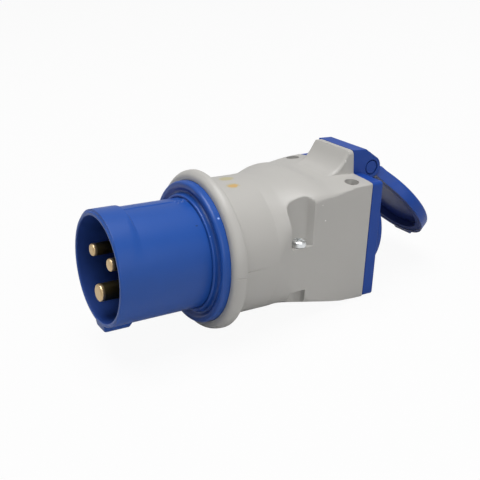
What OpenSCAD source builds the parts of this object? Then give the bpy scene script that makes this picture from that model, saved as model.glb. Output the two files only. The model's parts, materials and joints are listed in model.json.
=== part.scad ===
// Plug adaptor: a 16 A three-pole pin and sleeve plug that carries a flanged
// domestic socket with a hinged lid. Millimetres. The plug's axis is Y and its
// mouth faces -Y, the hinge is on top at +Z, and the origin is on the plug's
// axis at the root of the sleeve, where a connector's mouth stops.

/* [Plug sleeve] */
// Outer radius of the sleeve
sleeve_r = 22; // [21:0.1:23]
// Wall of the sleeve
sleeve_wall = 1.6; // [1.2:0.1:2.2]
// Length of the sleeve from its root to its mouth
sleeve_l = 36.75; // [32:0.25:42]
// Height of the pad over the mouth
pad_h = 0.9; // [0.4:0.1:1.5]
// Length of the pad from the mouth
pad_l = 10.7; // [6:0.1:16]
// Width of the key lug under the mouth
key_w = 8; // [6:0.5:9]
// Height of the key lug over the sleeve
key_h = 3.1; // [1.5:0.1:3.5]
// Length of the key lug from the mouth
key_l = 13.5; // [9:0.5:18]
// Height of the fine rib along the top of the sleeve
seam_h = 0.35; // [0.2:0.05:0.6]
// Radius of the blue flange at the collar
flange_r = 28.4; // [27.5:0.1:29]
// Distance from the sleeve's root to the flange's rim
flange_y = 4.5; // [4:0.25:7]
// Radius of the bead round the sleeve's root
bead_r = 0.65; // [0.4:0.05:0.8]
// How far the roll along the flange's rim stands out of the valley behind the bead
roll_h = 1.5; // [0.8:0.1:2]
// Width of the roll from its crest out to the rim
roll_w = 1.5; // [1:0.1:2]
// Thickness of the flange's edge
flange_t = 3.7; // [3:0.1:5]
// Thickness of the base that holds the pins, in front of the groove
base_t = 5.7; // [5:0.1:7]

/* [Pins] */
// Radius of the circle that the pins stand on
pcd_r = 9.5; // [9:0.1:10]
// Radius of the line and neutral pins
pin_r = 2.5; // [2.2:0.1:2.8]
// Radius of the earth pin
earth_r = 3.5; // [3.2:0.1:3.8]
// How much thicker the pins are inside the base
pin_root = 0.3; // [0.1:0.1:0.6]
// Distance from the mouth to the tips of the line and neutral pins
pin_back = 1.2; // [0.8:0.1:4]
// Distance from the mouth to the tip of the earth pin
earth_back = 0.1; // [0:0.1:3]
// Length of the terminal barrels behind the base
barrel_l = 14; // [12:0.5:18]
// Thickness of the plate that holds the pins in
retainer_t = 2.5; // [2:0.1:4]

/* [Body shells] */
// Radius of the neck
neck_r = 27.8; // [27.2:0.1:28.3]
// Length of the straight neck behind the collar
neck_l = 16.9; // [12:0.1:24]
// Length of the body from the neck to the socket's frame
body_l = 46.3; // [44:0.1:60]
// Width of the body at the socket
body_w = 50.8; // [49:0.1:53]
// Height of the body's top corners over the plug's axis
top_z = 26.1; // [25.5:0.1:27.5]
// Rise of the roof's middle over the top corners at the socket
roof_h = 1; // [0.4:0.1:1.6]
// Depth of the body's bottom under the plug's axis
bottom_z = 24.3; // [23.7:0.1:25.5]
// Height of the round crown where the neck runs into the roof
crown_h = 2.4; // [0.5:0.1:3]
// Wall of the shells
wall = 2.5; // [2:0.1:2.8]
// Radius of the collar ring
collar_r = 32.2; // [31.5:0.1:34]
// Width of the collar ring
collar_w = 5.2; // [4:0.1:6]

/* [Shell screws] */
// Radius of the open screw channels in the body's sides
channel_r = 5.5; // [5.2:0.05:5.8]
// Height of the channels' floor
channel_z = 4; // [3:0.25:8]
// Distance from the neck's end to the middle of the channels
front_screw_y = 11.4; // [10:0.1:14]
// Distance from the socket's frame back to the rear screws
rear_screw_y = 7.3; // [7:0.1:8]
// Radius of the screw heads
head_r = 2.4; // [2:0.1:2.45]
// Height of the front screws' heads
front_head_h = 2.1; // [1.4:0.1:2.6]
// Distance of the front screws behind the channels' middle
screw_back = 1; // [0:0.1:1.2]
// Radius of the screws' shanks
shank_r = 1.3; // [1:0.05:1.4]
// Length of the front screws under the head
front_screw_l = 16; // [12:0.5:17]
// Length of the rear screws under the head
rear_screw_l = 6.5; // [5:0.5:8.5]
// Height of the rear screws' seats over the posts that they are driven into
rear_seat_h = 3; // [2.5:0.1:4]

/* [Socket] */
// Height of the socket's axis over the plug's axis
socket_z = 0.9; // [0.5:0.1:1.2]
// Thickness of the socket's square frame
frame_t = 5.2; // [4.5:0.1:7]
// Radius of the round collar behind the frame
boss_r = 22.35; // [21.8:0.05:22.8]
// Length of the round collar behind the frame
boss_l = 5.1; // [4.5:0.1:7]
// Radius of the socket's recess
recess_r = 19.6; // [19.3:0.1:19.9]
// Depth of the recess
recess_d = 17.5; // [16.5:0.5:17.5]
// Distance between the two contact holes
contact_gap = 19; // [18.6:0.1:19.4]
// Inner radius of the contact tubes
contact_r = 2.45; // [2.35:0.05:2.55]
// Distance between the frame's screws, both ways
frame_screw_gap = 38; // [37:0.25:39]
// Width of the earth clip
clip_w = 7; // [5:0.5:8]
// Thickness of the earth clip
clip_t = 0.8; // [0.6:0.1:1]

/* [Wires] */
// Radius of the bare wire in its terminals
wire_core_r = 1.2; // [0.9:0.1:1.3]
// Radius of the wire over its insulation
wire_r = 1.9; // [1.6:0.1:2.2]

/* [Hinge and lid] */
// Half width of the hinge block and of the fairing in front of it
hinge_w = 11.87; // [11:0.01:13]
// Height of the hinge axis over the plug's axis
hinge_z = 28; // [27.8:0.1:28.6]
// Height of the hinge block's top over the plug's axis
block_z = 36.4; // [35.5:0.1:38]
// Radius of the hinge pin
hinge_pin_r = 3.2; // [2.5:0.1:3.3]
// Radius of the round end of the hinge block
knuckle_r = 4.8; // [4.5:0.05:4.9]
// Half width of the lid's knuckle
knuckle_w = 7.6; // [6:0.1:8]
// Radius of the lid
lid_r = 22.7; // [22:0.1:23]
// Depth of the lid from its rim to its face
lid_d = 5.5; // [4.5:0.1:6]
// Wall of the lid
lid_wall = 1.3; // [1:0.1:1.6]
// Angle that the lid stands open
lid_open = 42; // [0:1:95]

/* [Fits] */
// Running clearance of the hinge pin in the lid
run_c = 0.05; // [0.03:0.01:0.08]
// Clearance of pieces that slip together
slip_c = 0.1; // [0.05:0.01:0.2]
// Clearance between the lid and what it passes
gap_c = 0.3; // [0.25:0.01:0.4]

/* [Hidden] */
$fn = 72;
e = 0.02;
// reaches past the whole body
far = 60;

// Stations along the axis
mouth_y = -sleeve_l;
base_y = flange_y + flange_t - base_t;
groove_y = flange_y + flange_t;
groove_w = 3;
lip_y = groove_y + groove_w;
lip_t = 2.5;
hub_y = lip_y + lip_t;
collar_y = flange_y + collar_w / 2 - 0.1;
neck_y = collar_y + collar_w / 2;
body_y = neck_y + neck_l;
frame_y = body_y + body_l;
boss_y = frame_y + frame_t;
face_y = boss_y + boss_l;
floor_y = face_y - recess_d;

// Sizes that follow from the ones above
bore_r = sleeve_r - sleeve_wall;
half_w = body_w / 2;
roof_z = top_z + roof_h;
groove_r = sleeve_r + 0.5;
lip_r = neck_r - wall - 0.9;
floor_t = 2;
// the rear screws stand this far in from the body's sides
rear_in = 4.9;
// the round neck stands this much over the first section of the body
neck_step = 0.15;
shell_r = recess_r + 1.1;
shell_clear_r = shell_r + gap_c;
clear_y = floor_y - floor_t - 1;
hinge_y = face_y + slip_c;
rim_y = hinge_y + slip_c;
channel_x = half_w + 0.35;
// the front screws' heads stand just clear of the channels' round wall
head_reach = channel_r - head_r - slip_c;
screw_x = channel_x - sqrt(head_reach ^ 2 - screw_back ^ 2);
rear_x = half_w - rear_in;
channel_y = body_y + front_screw_y;
front_y = channel_y + screw_back;
rear_y = frame_y - rear_screw_y;
barrel_y = hub_y + barrel_l;
// the rear screws' tips stay clear of the room that the shells leave the socket
tip_c = 0.6;
rear_tip_z = socket_z + tip_c + sqrt(max(0, shell_clear_r ^ 2 - (rear_x - shank_r - tip_c) ^ 2));
rear_seat_z = rear_tip_z + rear_screw_l;
post_z = rear_seat_z - rear_seat_h;
// depth of the bare wires in the pins' barrels and in the socket's terminals
core_in = 8.5;
term_in = 6;

// Place and radius of each pin: line, neutral, earth
PIN_ANGLES = [30, 150, 270];
function pin_at(i) = [pcd_r * cos(PIN_ANGLES[i]), pcd_r * sin(PIN_ANGLES[i])];
function pin_rad(i) = i == 2 ? earth_r : pin_r;
barrel_wall = 0.8;
shoulder_w = 1.3;
shoulder_l = 2;
function barrel_rad(i) = pin_rad(i) + barrel_wall;
function shoulder_rad(i) = pin_rad(i) + shoulder_w;

// Turns a shape that stands on Z so that it runs along +Y from station y
module along_y(y = 0) translate([0, y, 0]) rotate([-90, 0, 0]) children();
module rod_y(r, y0, y1, x = 0, z = 0) translate([x, 0, z]) along_y(y0) cylinder(r = r, h = y1 - y0);
module rod_z(r, z0, z1, x, y) translate([x, y, z0]) cylinder(r = r, h = z1 - z0);
module both_sides() for (s = [-1, 1]) scale_x(s) children();
module scale_x(s) if (s > 0) children(); else mirror([1, 0, 0]) children();

// Smooth value at u of a row of [station, value] keys, by cubic pieces
function slope(k, j) = let (a = max(j - 1, 0), b = min(j + 1, len(k) - 1))
    (k[b][1] - k[a][1]) / (k[b][0] - k[a][0]);
function smooth_at(k, u) = let (
    i = max([for (j = [0:len(k) - 2]) if (u >= k[j][0]) j]),
    h = k[i + 1][0] - k[i][0], t = (u - k[i][0]) / h)
    (1 + 2 * t) * (1 - t) ^ 2 * k[i][1] + t * (1 - t) ^ 2 * h * slope(k, i)
    + t ^ 2 * (3 - 2 * t) * k[i + 1][1] + t ^ 2 * (t - 1) * h * slope(k, i + 1);

// The body turns from the round neck into a box. Each key is [share of the
// length, share of the change]: sides going flat, top corners and bottom
// corners rising to their full height, belly going flat, and the crown.
SIDE = [[0, 0], [0.13, 0.62], [0.22, 0.92], [0.34, 1], [1, 1]];
TOP = [[0, 0], [0.1, 0.28], [0.2, 0.54], [0.31, 0.74], [0.4, 0.81], [0.6, 0.875], [0.8, 0.95], [1, 0.985]];
LOW = [[0, 0], [0.13, 0.37], [0.22, 0.6], [0.3, 0.72], [0.41, 0.82], [0.62, 0.915], [0.8, 0.965], [1, 0.985]];
BELLY = [[0, 0], [0.07, 0.18], [0.13, 0.5], [0.22, 0.74], [0.3, 0.87], [0.41, 0.97], [0.55, 1], [1, 1]];
CROWN = [[0, 0], [0.2, 0.55], [0.38, 1], [0.45, 0.8], [0.52, 0.4], [0.6, 0.1], [0.69, 0], [1, 0]];
function mix(a, b, t) = a + (b - a) * t;

// One section of the body at u, shrunk inwards by t
function section(u, t) = let (
    w = mix(neck_r, half_w, smooth_at(SIDE, u)) - t,
    up = smooth_at(TOP, u), low = smooth_at(LOW, u),
    zt = up * (top_z - t), zl = low * (bottom_z - t),
    zc = mix(neck_r, roof_z, smooth_at(BELLY, u)) + crown_h * smooth_at(CROWN, u) - t,
    zb = mix(neck_r, bottom_z, smooth_at(BELLY, u)) - t,
    n = 18)
    concat([for (i = [0:n]) let (a = 180 * i / n) [w * cos(a), zt + (zc - zt) * sin(a)]],
        [for (i = [0:n]) let (a = 180 * i / n) [-w * cos(a), -zl - (zb - zl) * sin(a)]]);

// Loft of the sections from the neck to the socket's frame
module body_loft(t, past = 0) {
    steps = 18;
    rings = concat([for (i = [0:steps]) [i / steps, body_y + body_l * i / steps]],
        past > 0 ? [[1, frame_y + past]] : []);
    n = len(section(0, t));
    pts = [for (r = rings) for (p = section(r[0], t)) [p[0], r[1], p[1]]];
    sides = [for (j = [0:len(rings) - 2]) for (i = [0:n - 1]) let (k = (i + 1) % n)
        [j * n + i, j * n + k, (j + 1) * n + k, (j + 1) * n + i]];
    last = (len(rings) - 1) * n;
    polyhedron(pts, concat([[for (i = [n - 1:-1:0]) i]], sides, [[for (i = [0:n - 1]) last + i]]), 10);
}

// Keeps the half above (up = 1) or below (up = -1) the parting plane
module half(up) intersection() {
    children();
    translate([-far, 0, up > 0 ? 0 : -far]) cube([2 * far, 2 * far, far]);
}

// --- Plug -----------------------------------------------------------------

// Half outline of the sleeve, flange and hub: radius and station. The bead at
// the root and the roll along the rim have a narrow valley between them.
bead_at = sleeve_r + 0.1 + bead_r;
crest_at = flange_r - roll_w;
valley_at = bead_at + bead_r + 0.25;
valley_y = flange_y - 1.5;
module sleeve_outline() polygon(concat(
    [[0, base_y], [bore_r, base_y], [bore_r, mouth_y + 0.5], [bore_r + 0.4, mouth_y],
    [sleeve_r - 0.5, mouth_y], [sleeve_r, mouth_y + 0.5], [sleeve_r, bead_r]],
    [for (a = [180:-36:0]) [bead_at + bead_r * cos(a), bead_r * (1 - sin(a))]],
    [[bead_at + bead_r, valley_y - 0.5], [valley_at, valley_y]],
    [for (a = [162:-18:90]) [crest_at + (crest_at - valley_at) * cos(a), valley_y - roll_h * sin(a)]],
    [for (a = [72:-18:0]) [crest_at + roll_w * cos(a), valley_y - roll_h * sin(a)]],
    [[flange_r, groove_y], [groove_r, groove_y],
    [groove_r, lip_y], [lip_r, lip_y], [lip_r, hub_y], [0, hub_y]]));

// Lug under the mouth that keys the plug: rounded in front, sloped behind,
// and chamfered along its lower edges
key_round = 1.4;
key_slope = 2;
key_edge = 0.9;
module key_lug() intersection() {
    rotate([90, 0, 90]) translate([0, 0, -key_w / 2]) linear_extrude(key_w) polygon(concat(
        [[mouth_y + key_l, -sleeve_r + 1], [mouth_y + 0.3, -sleeve_r + 1]],
        [for (a = [0:18:90]) [mouth_y + 0.3 + key_round * (1 - cos(a)),
            -sleeve_r - key_h + key_round * (1 - sin(a))]],
        [[mouth_y + key_l - key_slope, -sleeve_r - key_h], [mouth_y + key_l, -sleeve_r + 0.4]]));
    along_y(mouth_y) linear_extrude(key_l + 1) both_sides() polygon([[0, 0],
        [key_w / 2, 0], [key_w / 2, sleeve_r + key_h - key_edge],
        [key_w / 2 - key_edge, sleeve_r + key_h], [0, sleeve_r + key_h]]);
}

// The pad is the sleeve's own round, lifted, from this height up
pad_z = 3;
pad_back = 0.4;
// The fine rib along the sleeve's top
seam_w = 1;
module plug_sleeve() color([0.16, 0.32, 0.68]) difference() {
    union() {
        along_y() rotate_extrude($fn = 96) sleeve_outline();
        intersection() {
            translate([0, 0, pad_h]) rod_y(sleeve_r, mouth_y + pad_back, mouth_y + pad_l);
            translate([-sleeve_r, mouth_y, pad_z]) cube([2 * sleeve_r, pad_l + 1, sleeve_r]);
        }
        translate([-seam_w / 2, mouth_y + pad_l - 1, sleeve_r - 1])
            cube([seam_w, -mouth_y - pad_l + 1 + bead_r, 1 + seam_h]);
        key_lug();
    }
    rod_y(bore_r, mouth_y - 1, base_y);
    for (i = [0:2]) {
        rod_y(pin_rad(i) + pin_root + slip_c, base_y - 1, hub_y + 1, pin_at(i)[0], pin_at(i)[1]);
        rod_y(shoulder_rad(i) + slip_c, hub_y - shoulder_l, hub_y + 1, pin_at(i)[0], pin_at(i)[1]);
    }
    rod_y(shank_r + 0.05, base_y + hole_stop, hub_y + 1);
}

// One contact pin with its shoulder and its terminal barrel
tip_round = 1;
module pin(i, tip_y) color([0.80, 0.66, 0.42]) translate([pin_at(i)[0], 0, pin_at(i)[1]]) {
    r = pin_rad(i);
    b = barrel_rad(i);
    difference() {
        along_y(tip_y) rotate_extrude() polygon(concat(
            [[0, 0]], [for (a = [0:15:90]) [r - tip_round * (1 - sin(a)), tip_round * (1 - cos(a))]],
            [[r, base_y - tip_y], [r + pin_root, base_y - tip_y], [r + pin_root, hub_y - shoulder_l - tip_y],
            [shoulder_rad(i), hub_y - shoulder_l - tip_y], [shoulder_rad(i), hub_y - tip_y],
            [b, hub_y - tip_y], [b, barrel_y - tip_y], [0, barrel_y - tip_y]]));
        along_y(barrel_y - core_in - 0.5) cylinder(r = wire_core_r + slip_c, h = core_in + 1.5);
        rotate([0, -PIN_ANGLES[i], 0]) rotate([0, 90, 0]) translate([0, barrel_y - core_in / 2, 0])
            cylinder(r = shank_r + 0.05, h = b + 1);
    }
}
module line_pin() pin(0, mouth_y + pin_back);
module neutral_pin() pin(1, mouth_y + pin_back);
module earth_pin() pin(2, mouth_y + earth_back);

module pin_retainer() color([0.12, 0.22, 0.46]) difference() {
    rod_y(lip_r - 1.5, hub_y, hub_y + retainer_t);
    for (i = [0:2])
        rod_y(barrel_rad(i) + slip_c, hub_y - 1, hub_y + retainer_t + 1, pin_at(i)[0], pin_at(i)[1]);
    rod_y(shank_r + slip_c, hub_y - 1, hub_y + retainer_t + 1);
}

// A pan-head screw along +Z with its head's underside at 0 and a cross recess
slot_w = 0.7;
slot_d = 1;
module screw(l, hr, r, hh = 1.6) color([0.78, 0.78, 0.76]) difference() {
    union() {
        translate([0, 0, -l]) cylinder(r1 = r * 0.5, r2 = r, h = r);
        translate([0, 0, -l + r]) cylinder(r = r, h = l - r + e);
        cylinder(r = hr, h = hh * 0.5);
        translate([0, 0, hh * 0.5]) cylinder(r1 = hr, r2 = hr * 0.8, h = hh * 0.5);
    }
    for (a = [0, 90]) rotate(a) translate([-hr * 0.6, -slot_w / 2, hh - slot_d])
        cube([hr * 1.2, slot_w, slot_d + 0.1]);
}
// A grub screw along +Z, its slotted top at 0
module grub(l, r) color([0.78, 0.78, 0.76]) difference() {
    translate([0, 0, -l]) cylinder(r = r, h = l);
    translate([-r - 1, -0.25, -0.7]) cube([2 * r + 2, 0.5, 1]);
}

// The hole for this screw stops short of the base's front
hole_stop = 2;
module retainer_screw() translate([0, hub_y + retainer_t, 0]) rotate([-90, 0, 0])
    screw(retainer_t + hub_y - base_y - hole_stop - 1, head_r, shank_r);

// How far the grub screws stand out of the barrels
grub_out = 1;
module pin_terminal_screws() for (i = [0:2]) translate([pin_at(i)[0], barrel_y - core_in / 2, pin_at(i)[1]])
    rotate([0, 90 - PIN_ANGLES[i], 0]) translate([0, 0, barrel_rad(i) + grub_out])
        grub(barrel_rad(i) + grub_out - wire_core_r - slip_c, shank_r);

// --- Body shells ----------------------------------------------------------

// Collar ring with a full round edge, and the neck's outside
collar_round = 2.2;
root_round = 0.8;
module neck_form() {
    along_y() rotate_extrude($fn = 96) polygon(concat(
        [[0, collar_y - collar_w / 2], [flange_r + 1.2, collar_y - collar_w / 2]],
        [for (a = [-75:15:75]) [collar_r - collar_round * (1 - cos(a)),
            collar_y + collar_w / 2 * sin(a) / sin(75)]],
        [[neck_r + root_round, neck_y], [neck_r + neck_step, neck_y + root_round],
        [neck_r + neck_step, body_y], [0, body_y]]));
}

// Fairing on the roof that leads up to the hinge block, a concave ramp
fair_run = 10.3;
fair_flat = 2.2;
fair_back = 7.15;
fair_belly = 4.2;
function ramp(t) = [frame_y - fair_flat - fair_run * (1 - t) ^ 2 - fair_back * t * (1 - t),
    mix(roof_z - 0.8, block_z - 0.2, t ^ 2) + fair_belly * t * (1 - t)];
module fairing() rotate([90, 0, 90]) translate([0, 0, -hinge_w]) linear_extrude(2 * hinge_w)
    polygon(concat([for (i = [0:10]) ramp(i / 10)],
        [[frame_y - 0.4, block_z + 0.1], [frame_y, block_z], [frame_y, 20], [ramp(0)[0], 20]]));

// Plan of a side channel: a round well that flares back to the body's side
flare = 5.2;
flare_angle = 128;
flare_x = 2;
module channel_plan(r) {
    translate([channel_x, channel_y]) circle(r);
    translate([channel_x, channel_y]) polygon([[r * cos(flare_angle), r * sin(flare_angle)],
        [flare_x, r * sin(flare_angle) + flare], [flare_x, -r / 2], [0, 0]]);
}
module channel(r, z0, z1) translate([0, 0, z0]) linear_extrude(z1 - z0) channel_plan(r);

// Wall round a channel
channel_wall = 1.9;

// What the shells hold clear inside
module body_cavity() {
    rod_y(neck_r - wall - 2 * neck_step, lip_y - 0.1, body_y + 0.5);
    body_loft(wall, 1);
    rod_y(groove_r + 0.15, groove_y - 1, lip_y + 1);
    rod_y(flange_r + 0.15, 0, groove_y + 0.1);
}
module body_form() {
    neck_form();
    body_loft(0);
}

// Corner blocks that take the frame's screws, and the holes in them
frame_x = frame_screw_gap / 2;
block_l = rear_screw_y - head_r - 0.7;
block_in = 3.2;
module corner_block(up) translate([frame_x - block_in, frame_y - block_l,
    up > 0 ? socket_z + frame_x - block_in : -far])
    cube([far, block_l, up > 0 ? far : far + socket_z - frame_x + block_in]);
module frame_holes(r, y0, y1) for (z = [-1, 1]) both_sides()
    rod_y(r, y0, y1, frame_x, socket_z + z * frame_x);

// Posts of the rear screws. The lower one stands on a web that starts in front
// of the socket, and runs into the side wall up to the parting plane
post_wall = 1.9;
foot_h = 5.5;
module upper_post() rod_z(shank_r + post_wall + 0.7, post_z + slip_c, roof_z, rear_x, rear_y);
module lower_post() {
    web_x = rear_x - head_r;
    web_y = clear_y - post_wall;
    module web(x1, z1) translate([web_x, web_y, wall / 2 - bottom_z])
        cube([x1 - web_x, rear_y + shank_r + post_wall - web_y, bottom_z - wall / 2 + z1]);
    intersection() {
        union() {
            rod_z(shank_r + post_wall, post_z - foot_h, post_z, rear_x, rear_y);
            web(half_w, post_z);
        }
        web(half_w - wall - slip_c, post_z + 1);
    }
    web(half_w - wall / 2, -1);
}

module upper_shell() color([0.72, 0.72, 0.70]) difference() {
    half(1) {
        neck_form();
        body_loft(0);
        fairing();
    }
    difference() {
        body_cavity();
        both_sides() {
            rod_z(channel_r + channel_wall, 0, far, channel_x, channel_y);
            corner_block(1);
            upper_post();
        }
    }
    both_sides() {
        channel(channel_r, channel_z, far);
        rod_z(shank_r + slip_c, -1, channel_z + 1, screw_x, front_y);
        rod_z(head_r + 0.25, rear_seat_z, far, rear_x, rear_y);
        rod_z(shank_r + slip_c, post_z - 1, rear_seat_z + 1, rear_x, rear_y);
    }
    frame_holes(shank_r + 0.05, frame_y - block_l + 0.3, frame_y + 1);
    rod_y(shell_clear_r, clear_y, frame_y + 1, 0, socket_z);
}

// Wells under the front screws
low_well_r = 3.75;
low_well_z = -14.5;
low_well_x = half_w - 1;
module lower_shell() color([0.72, 0.72, 0.70]) difference() {
    union() {
        difference() {
            half(-1) {
                neck_form();
                body_loft(0);
            }
            difference() {
                body_cavity();
                both_sides() {
                    rod_z(channel_r + channel_wall, -far, 0, channel_x, channel_y);
                    corner_block(-1);
                }
            }
        }
        both_sides() lower_post();
    }
    both_sides() {
        rod_z(low_well_r, -far, low_well_z, low_well_x, channel_y);
        rod_z(shank_r + 0.05, channel_z - front_screw_l - 0.5, 1, screw_x, front_y);
        rod_z(shank_r + 0.05, rear_tip_z - 0.3, post_z + 1, rear_x, rear_y);
    }
    frame_holes(shank_r + 0.05, frame_y - block_l + 0.3, frame_y + 1);
    rod_y(shell_clear_r, clear_y, frame_y + 1, 0, socket_z);
}

module front_shell_screws() both_sides() translate([screw_x, front_y, channel_z])
    screw(front_screw_l, head_r, shank_r, front_head_h);
module rear_shell_screws() both_sides() translate([rear_x, rear_y, rear_seat_z])
    screw(rear_screw_l, head_r, shank_r);

// --- Socket ---------------------------------------------------------------

// Side outline of the hinge block, on the frame's top
block_flat = 6.7;
ear_a = 50;
module block_side() {
    polygon([[frame_y, top_z - 3], [frame_y, block_z], [frame_y + block_flat, block_z - 0.2],
        [hinge_y + knuckle_r * cos(ear_a), hinge_z + knuckle_r * sin(ear_a)], [hinge_y, hinge_z],
        [hinge_y - 1, hinge_z - knuckle_r], [boss_y - 1, hinge_z - knuckle_r]]);
    translate([hinge_y, hinge_z]) circle(knuckle_r);
}
module rod_x(r, x0, x1) translate([x0, hinge_y, hinge_z]) rotate([0, 90, 0]) cylinder(r = r, h = x1 - x0);

corner_r = 1.5;
module frame_plate() translate([0, frame_y, 0]) rotate([90, 0, 0]) mirror([0, 0, 1]) linear_extrude(frame_t)
    offset(r = corner_r) offset(delta = -corner_r) translate([-half_w, -bottom_z])
        square([body_w, bottom_z + top_z]);

clip_in = 1.5;
clip_z = recess_r - clip_in;
module socket_flange() color([0.14, 0.29, 0.62]) difference() {
    union() {
        frame_plate();
        rod_y(boss_r, frame_y + 1, face_y, 0, socket_z);
        rod_y(shell_r, floor_y - floor_t, frame_y + 1, 0, socket_z);
        rotate([90, 0, 90]) translate([0, 0, -hinge_w]) linear_extrude(2 * hinge_w) block_side();
    }
    rod_y(recess_r, floor_y, face_y + 1, 0, socket_z);
    for (s = [-1, 1])
        rod_y(contact_r + 0.3, floor_y - floor_t - 1, floor_y + 1, s * contact_gap / 2, socket_z);
    for (s = [-1, 1])
        translate([-clip_w / 2 - slip_c, floor_y - floor_t - 1, socket_z + s * clip_z - clip_t / 2 - slip_c])
            cube([clip_w + 2 * slip_c, floor_t + 2, clip_t + 2 * slip_c]);
    rod_y(shank_r + slip_c, floor_y - floor_t - 1, floor_y + 1, 0, socket_z);
    frame_holes(shank_r + slip_c, frame_y - 1, boss_y + 1);
    for (z = [-1, 1]) both_sides() translate([frame_x, 0, socket_z + z * frame_x])
        along_y(boss_y - head_r) cylinder(r1 = 0.01, r2 = head_r + 0.1, h = head_r + e);
    rod_x(knuckle_r + gap_c, -knuckle_w - gap_c, knuckle_w + gap_c);
    rod_x(hinge_pin_r + run_c, -hinge_w - 1, hinge_w + 1);
}

// Countersunk screws that hold the frame to the shells, with a cross recess
slot_l = head_r * 1.1;
sink_r = head_r - 0.1;
frame_screw_l = frame_t + block_l - 0.6;
module frame_screws() for (z = [-1, 1]) both_sides() translate([frame_x, boss_y, socket_z + z * frame_x])
    rotate([-90, 0, 0]) color([0.78, 0.78, 0.76]) difference() {
        union() {
            translate([0, 0, -head_r + shank_r]) cylinder(r1 = shank_r, r2 = sink_r, h = sink_r - shank_r);
            translate([0, 0, -frame_screw_l]) cylinder(r = shank_r, h = frame_screw_l - head_r + shank_r + e);
        }
        for (a = [0, 90]) rotate(a) translate([-slot_l / 2, -slot_w / 2, -slot_d - 0.1])
            cube([slot_l, slot_w, slot_d + 0.2]);
    }

contact_wall = 0.6;
rod_r = contact_r + contact_wall;
insert_side = 4.45;
insert_w = contact_gap + 2 * (rod_r + insert_side);
insert_h = 2 * (rod_r + insert_side);
insert_l = 13.8;
insert_wall = 2;
insert_screw_l = 8;
insert_y = floor_y - floor_t - clip_t;
module socket_insert() color([0.86, 0.86, 0.84]) difference() {
    translate([-insert_w / 2, insert_y - insert_l, socket_z - insert_h / 2])
        cube([insert_w, insert_l, insert_h]);
    for (s = [-1, 1]) {
        rod_y(rod_r + slip_c, insert_y - insert_l + insert_wall, insert_y + 1, s * contact_gap / 2, socket_z);
        rod_y(contact_r + slip_c, insert_y - insert_l - 1, insert_y, s * contact_gap / 2, socket_z);
    }
    rod_y(shank_r + 0.05, insert_y - insert_screw_l - 1, insert_y + 1, 0, socket_z);
}

module insert_screw() translate([0, floor_y, socket_z]) rotate([-90, 0, 0])
    screw(floor_t + clip_t + insert_screw_l, head_r + 0.4, shank_r);

// Tubular contact with a slit, and a terminal barrel in front of the insert
term_l = 10;
slit_l = 8;
slit_w = 0.8;
term_y = insert_y - insert_l - term_l;
module contact(s) color([0.80, 0.66, 0.42]) translate([s * contact_gap / 2, 0, socket_z]) difference() {
    union() {
        rod_y(rod_r, insert_y - insert_l + insert_wall, insert_y);
        rod_y(contact_r, term_y, insert_y - insert_l + insert_wall + e);
    }
    rod_y(contact_r, insert_y - insert_l + insert_wall + 1, insert_y + 1);
    translate([-slit_w / 2, insert_y - slit_l, -rod_r - 1]) cube([slit_w, slit_l + 1, 2 * rod_r + 2]);
    rod_y(wire_core_r + slip_c, term_y - 1, term_y + term_in + 1);
    rod_z(shank_r - 0.25, 0, 4, 0, term_y + term_in / 2);
}
module line_contact() contact(1);
module neutral_contact() contact(-1);

// Earth strip behind the floor, its two spring arms in the recess and its tab
tab_z = -12;
tab_l = 12;
module earth_clip() color([0.80, 0.80, 0.78]) difference() {
    translate([-clip_w / 2, 0, socket_z]) {
        translate([0, insert_y, -clip_z - clip_t / 2]) cube([clip_w, clip_t, 2 * clip_z + clip_t]);
        for (s = [-1, 1]) rotate([90, 0, 90]) linear_extrude(clip_w) clip_arm(s);
        translate([0, insert_y - tab_l, tab_z - clip_t / 2]) cube([clip_w, tab_l + e, clip_t]);
    }
    rod_y(shank_r + slip_c, insert_y - 1, insert_y + clip_t + 1, 0, socket_z);
    rod_z(shank_r + 0.05, -20, 0, 0, insert_y - tab_l * 2 / 3);
}
// One arm: a strip that stops short of the face and bows inwards near its tip
arm_back = 4;
arm_bow = 1.6;
module clip_arm(s) {
    arm_l = recess_d - arm_back + floor_t + clip_t;
    line = [for (i = [0:8]) let (t = i / 8)
        [insert_y + arm_l * t, s * (clip_z - arm_bow * sin(180 * max(0, t - 0.3) / 0.7))]];
    polygon(concat([for (p = line) [p[0], p[1] + clip_t / 2]],
        [for (i = [8:-1:0]) [line[i][0], line[i][1] - clip_t / 2]]));
}

module socket_terminal_screws() {
    for (s = [-1, 1]) translate([s * contact_gap / 2, term_y + term_in / 2, socket_z + rod_r + 0.4])
        grub(rod_r + 0.4 - wire_core_r - slip_c, shank_r - 0.3);
    translate([0, insert_y - tab_l * 2 / 3, socket_z + tab_z + clip_t / 2]) screw(4, head_r, shank_r);
}

// --- Wires ----------------------------------------------------------------

// Tube of radius r along points p, with a ring of 8 sides at each point
function unit(v) = v / norm(v);
function tangent(p, i) = unit(p[min(i + 1, len(p) - 1)] - p[max(i - 1, 0)]);
module tube(p, r) {
    n = 8;
    pts = [for (i = [0:len(p) - 1]) let (t = tangent(p, i), a = unit(cross(t, [0, 0, 1])), b = cross(a, t))
        for (k = [0:n - 1]) p[i] + r * (a * cos(360 * k / n) + b * sin(360 * k / n))];
    last = (len(p) - 1) * n;
    polyhedron(pts, concat([[for (k = [n - 1:-1:0]) k]],
        [for (j = [0:len(p) - 2]) for (k = [0:n - 1]) let (m = (k + 1) % n)
            [j * n + k, j * n + m, (j + 1) * n + m, (j + 1) * n + k]],
        [[for (k = [0:n - 1]) last + k]]), 10);
}
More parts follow.
